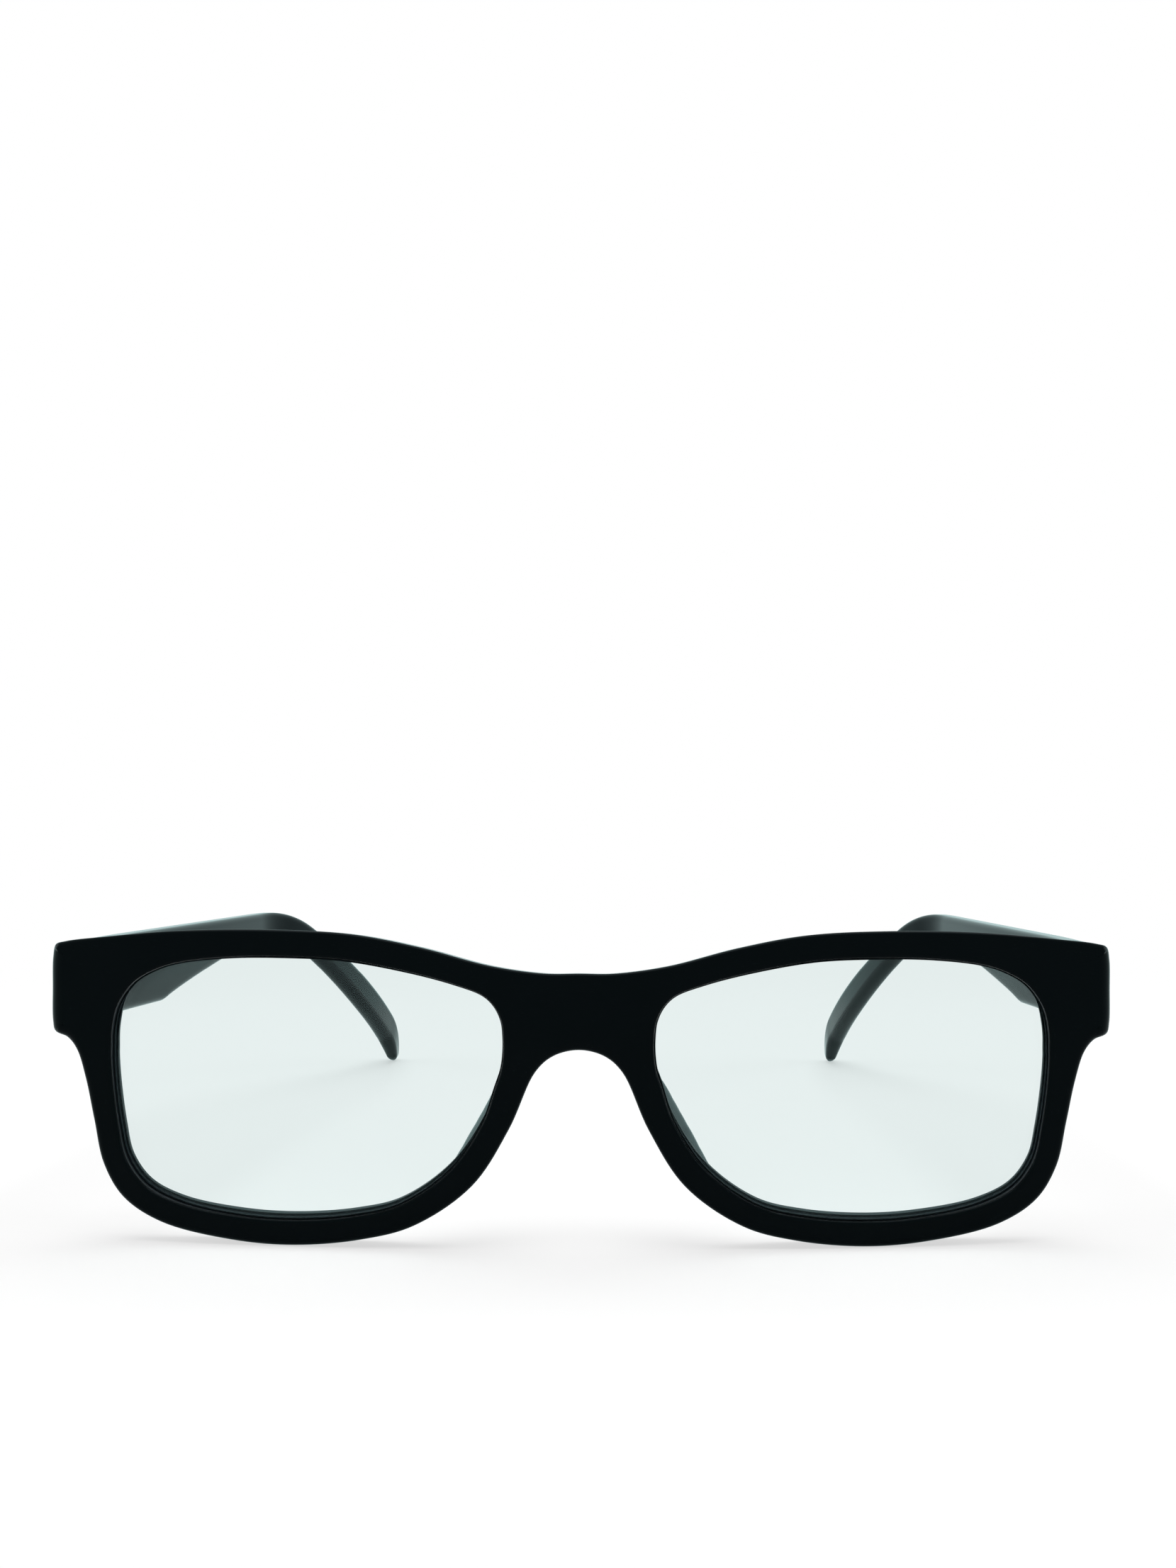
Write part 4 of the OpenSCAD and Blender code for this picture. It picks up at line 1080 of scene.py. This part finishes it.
# %% [markdown]
# ## Screws
#
# All the screws are the same turned shape in two sizes: a plain shank, and a flat head with a
# slot. Something that repeats is best made once by Geometry Nodes and placed at points. Each point
# carries the direction in which its head looks, and the tree turns a copy of the screw to it. The
# sizes are inputs of the tree, so the leaf screws and the hinge screws share it. A fine bevel
# softens the hinge screws. On the smaller leaf screws the slot leaves such short edges that the
# bevel gets no room, so their edges stay sharp.

# %% The screw tree
def add_tree(name, sizes):
    """A Geometry Nodes tree with one named input for each size."""
    tree = bpy.data.node_groups.new(name, "GeometryNodeTree")
    tree.is_modifier = True
    tree.interface.new_socket("Geometry", in_out="INPUT", socket_type="NodeSocketGeometry")
    tree.interface.new_socket("Geometry", in_out="OUTPUT", socket_type="NodeSocketGeometry")
    for size in sizes:
        tree.interface.new_socket(size, in_out="INPUT", socket_type="NodeSocketFloat")
    return tree, tree.nodes.new("NodeGroupInput").outputs, tree.nodes.new("NodeGroupOutput")


def use_tree(piece, tree, sizes):
    """Adds a tree to a piece and fills its named inputs."""
    modifier = piece.modifiers.new(tree.name, "NODES")
    modifier.node_group = tree
    for item in tree.interface.items_tree:
        if item.item_type == "SOCKET" and item.in_out == "INPUT" and item.name in sizes:
            modifier[item.identifier] = sizes[item.name]


SCREW_SIZES = ("Head diameter", "Head height", "Shank diameter", "Length", "Slot width")
ROD_SIDES = 48
screw_tree, size, result = add_tree("turned screws", SCREW_SIZES)


def rod(tree, diameter, length, lift):
    """An upright cylinder whose middle is lifted by a share of its length."""
    radius = put(tree, "ShaderNodeMath", {0: diameter, 1: 0.5}, operation="MULTIPLY")
    rise = put(tree, "ShaderNodeMath", {0: length, 1: lift}, operation="MULTIPLY")
    raw = put(tree, "GeometryNodeMeshCylinder", {"Vertices": ROD_SIDES, "Depth": length,
                                                 "Radius": radius.outputs[0]})
    up = put(tree, "ShaderNodeCombineXYZ", {"Z": rise.outputs[0]})
    return put(tree, "GeometryNodeTransform", {"Geometry": raw.outputs["Mesh"],
                                               "Translation": up.outputs[0]}).outputs[0]


head = rod(screw_tree, size["Head diameter"], size["Head height"], lift=0.5)
shank = rod(screw_tree, size["Shank diameter"], size["Length"], lift=-0.5)
slot_length = put(screw_tree, "ShaderNodeMath", {0: size["Head diameter"], 1: 2.0},
                  operation="MULTIPLY")
slot_size = put(screw_tree, "ShaderNodeCombineXYZ", {
    "X": slot_length.outputs[0], "Y": size["Slot width"], "Z": size["Head height"]})
slot_rise = put(screw_tree, "ShaderNodeCombineXYZ", {"Z": size["Head height"]})
slot_box = put(screw_tree, "GeometryNodeMeshCube", {"Size": slot_size.outputs[0]})
slot_place = put(screw_tree, "GeometryNodeTransform", {
    "Geometry": slot_box.outputs["Mesh"], "Translation": slot_rise.outputs[0]})
slotted = put(screw_tree, "GeometryNodeMeshBoolean", {
    "Mesh 1": head, "Mesh 2": slot_place.outputs[0]}, operation="DIFFERENCE")
joined = put(screw_tree, "GeometryNodeJoinGeometry", {0: shank})
screw_tree.links.new(slotted.outputs["Mesh"], joined.inputs[0])
facing = put(screw_tree, "GeometryNodeInputNamedAttribute", {"Name": "facing"},
             data_type="FLOAT_VECTOR")
turned = put(screw_tree, "FunctionNodeAlignRotationToVector", {
    "Vector": facing.outputs["Attribute"]}, axis="Z")
placed = put(screw_tree, "GeometryNodeInstanceOnPoints", {
    "Points": size["Geometry"], "Instance": joined.outputs[0], "Rotation": turned.outputs[0]})
real = put(screw_tree, "GeometryNodeRealizeInstances", {0: placed.outputs[0]})
finished = put(screw_tree, "GeometryNodeSetMaterial", {"Geometry": real.outputs[0],
                                                       "Material": turned_steel})
screw_tree.links.new(finished.outputs[0], result.inputs[0])
print("tree:", screw_tree.name, "with", len(screw_tree.nodes), "nodes")

# %% Place the screws
PIN_D, KNUCKLE_GAP, PIN_END = 1.4, 0.05, 0.25
END_KNUCKLE_H, MIDDLE_KNUCKLE_H = 1.3, 1.8
STACK_H = 2 * END_KNUCKLE_H + MIDDLE_KNUCKLE_H + 2 * KNUCKLE_GAP
PIN_Y = bow(END_X) + END_T
HEAD_D, HEAD_H, HEAD_EDGE, TEMPLE_RISE = 2.0, 0.5, 0.08, 0.05
SLOT_W, TURNED_EDGE = 0.24, 0.05
SCREW_FROM_END = 2.2         # from the end of a temple's leaf to its screws
leaf_sizes = {"Head diameter": HEAD_D, "Head height": HEAD_H, "Shank diameter": 1.16,
              "Length": 2.9, "Slot width": SLOT_W}
pin_sizes = {"Head diameter": 2.2, "Head height": 0.8, "Shank diameter": PIN_D,
             "Length": STACK_H + KNUCKLE_GAP + PIN_END, "Slot width": SLOT_W}


def screws(name, seats, sizes, body, nodes):
    """One piece holding a screw at each seat, a point and the direction its head faces."""
    mesh = bpy.data.meshes.new(name)
    mesh.from_pydata([to_frame(*place) for place, _ in seats], [], [])
    mesh.attributes.new("facing", "FLOAT_VECTOR", "POINT").data.foreach_set(
        "vector", [c for _, direction in seats for c in direction])
    piece = add_object(name, mesh)
    use_tree(piece, screw_tree, {key: value * MM for key, value in sizes.items()})
    round_edges(piece, TURNED_EDGE, segments=2, above=METAL_BEVEL)
    shade(piece.data, METAL_SHARP)
    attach(piece, body)
    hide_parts(*nodes)
    print(f"{name}: {len(seats)} screws, {len(piece.data.polygons)} faces")


front_dz = FRONT_LEAF_H / 2 - HEAD_D / 2 - HEAD_EDGE
temple_dz = TEMPLE_LEAF_H / 2 - HEAD_D / 2 - HEAD_EDGE
screws("front_leaf_screws", [((side * (LEAF_X0 + LEAF_X1) / 2, LEAF_BACK, END_Z + dz), (0, 1, 0))
                             for _, side in SIDES for dz in (-front_dz, front_dz)],
       leaf_sizes, "front", ["left_front_leaf_screws", "right_front_leaf_screws"])
screws("hinge_screws", [((side * PIN_X, PIN_Y, END_Z + STACK_H / 2 + KNUCKLE_GAP), (0, 0, 1))
                        for _, side in SIDES],
       pin_sizes, "front", ["left_hinge_screw", "right_hinge_screw"])
for name, side in SIDES:
    screws(f"{name}_temple_screws",
           [((side * (FACE_X - TEMPLE_RISE), TEMPLE_LEAF_Y + TEMPLE_LEAF_L - SCREW_FROM_END,
              END_Z + dz), (-side, 0, 0)) for dz in (-temple_dz, temple_dz)],
           leaf_sizes, f"{name}_arm", [f"{name}_temple_leaf_screws"])

# %% [markdown]
# ## Core wires
#
# A wire runs through each temple so that an optician can bend it round the ear. It is heated and
# shot into the plastic from the hinge end. Nothing of it shows in a black temple, but the model
# would be wrong without it. It could be a stack of rings like the temple, but a wire is only a
# circle that follows a path, so Geometry Nodes sweep one along a curve.

# %% Core wires
CORE_D, CORE_START, CORE_END = 1.3, 0.4, 9.0     # diameter, and how far it stays from both ends
CORE_POINTS, CORE_SIDES = 60, 16
wire_tree, size, result = add_tree("drawn wire", ("Diameter",))
radius = put(wire_tree, "ShaderNodeMath", {0: size["Diameter"], 1: 0.5}, operation="MULTIPLY")
round_section = put(wire_tree, "GeometryNodeCurvePrimitiveCircle", {
    "Resolution": CORE_SIDES, "Radius": radius.outputs[0]})
swept = put(wire_tree, "GeometryNodeCurveToMesh", {
    "Curve": size["Geometry"], "Profile Curve": round_section.outputs[0], "Fill Caps": True})
real = put(wire_tree, "GeometryNodeRealizeInstances", {0: swept.outputs[0]})
finished = put(wire_tree, "GeometryNodeSetMaterial", {"Geometry": real.outputs[0],
                                                      "Material": drawn_wire})
wire_tree.links.new(finished.outputs[0], result.inputs[0])

for name, side in SIDES:
    path = bpy.data.curves.new(f"{name}_wire_path", "CURVE")
    path.dimensions = "3D"
    line = path.splines.new("POLY")
    line.points.add(CORE_POINTS)
    for i, point in enumerate(line.points):
        middle, _ = temple_middle(lerp(CORE_START, temple_l - CORE_END, i / CORE_POINTS), temple_l)
        point.co = (*to_frame(side * middle[0], middle[1], middle[2]), 1)
    sweep = add_object(f"{name}_wire_path", path)
    use_tree(sweep, wire_tree, {"Diameter": CORE_D * MM})
    mesh = shown_mesh(sweep)
    open_edges, volume = close_up(mesh)
    wire = add_object(f"{name}_core_wire", mesh)
    bpy.data.objects.remove(sweep)
    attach(wire, f"{name}_arm")
    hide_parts(f"{name}_temple_core")
    print(f"{wire.name}: {len(mesh.polygons)} faces, {volume:.1f} mm3, {open_edges} open edges")
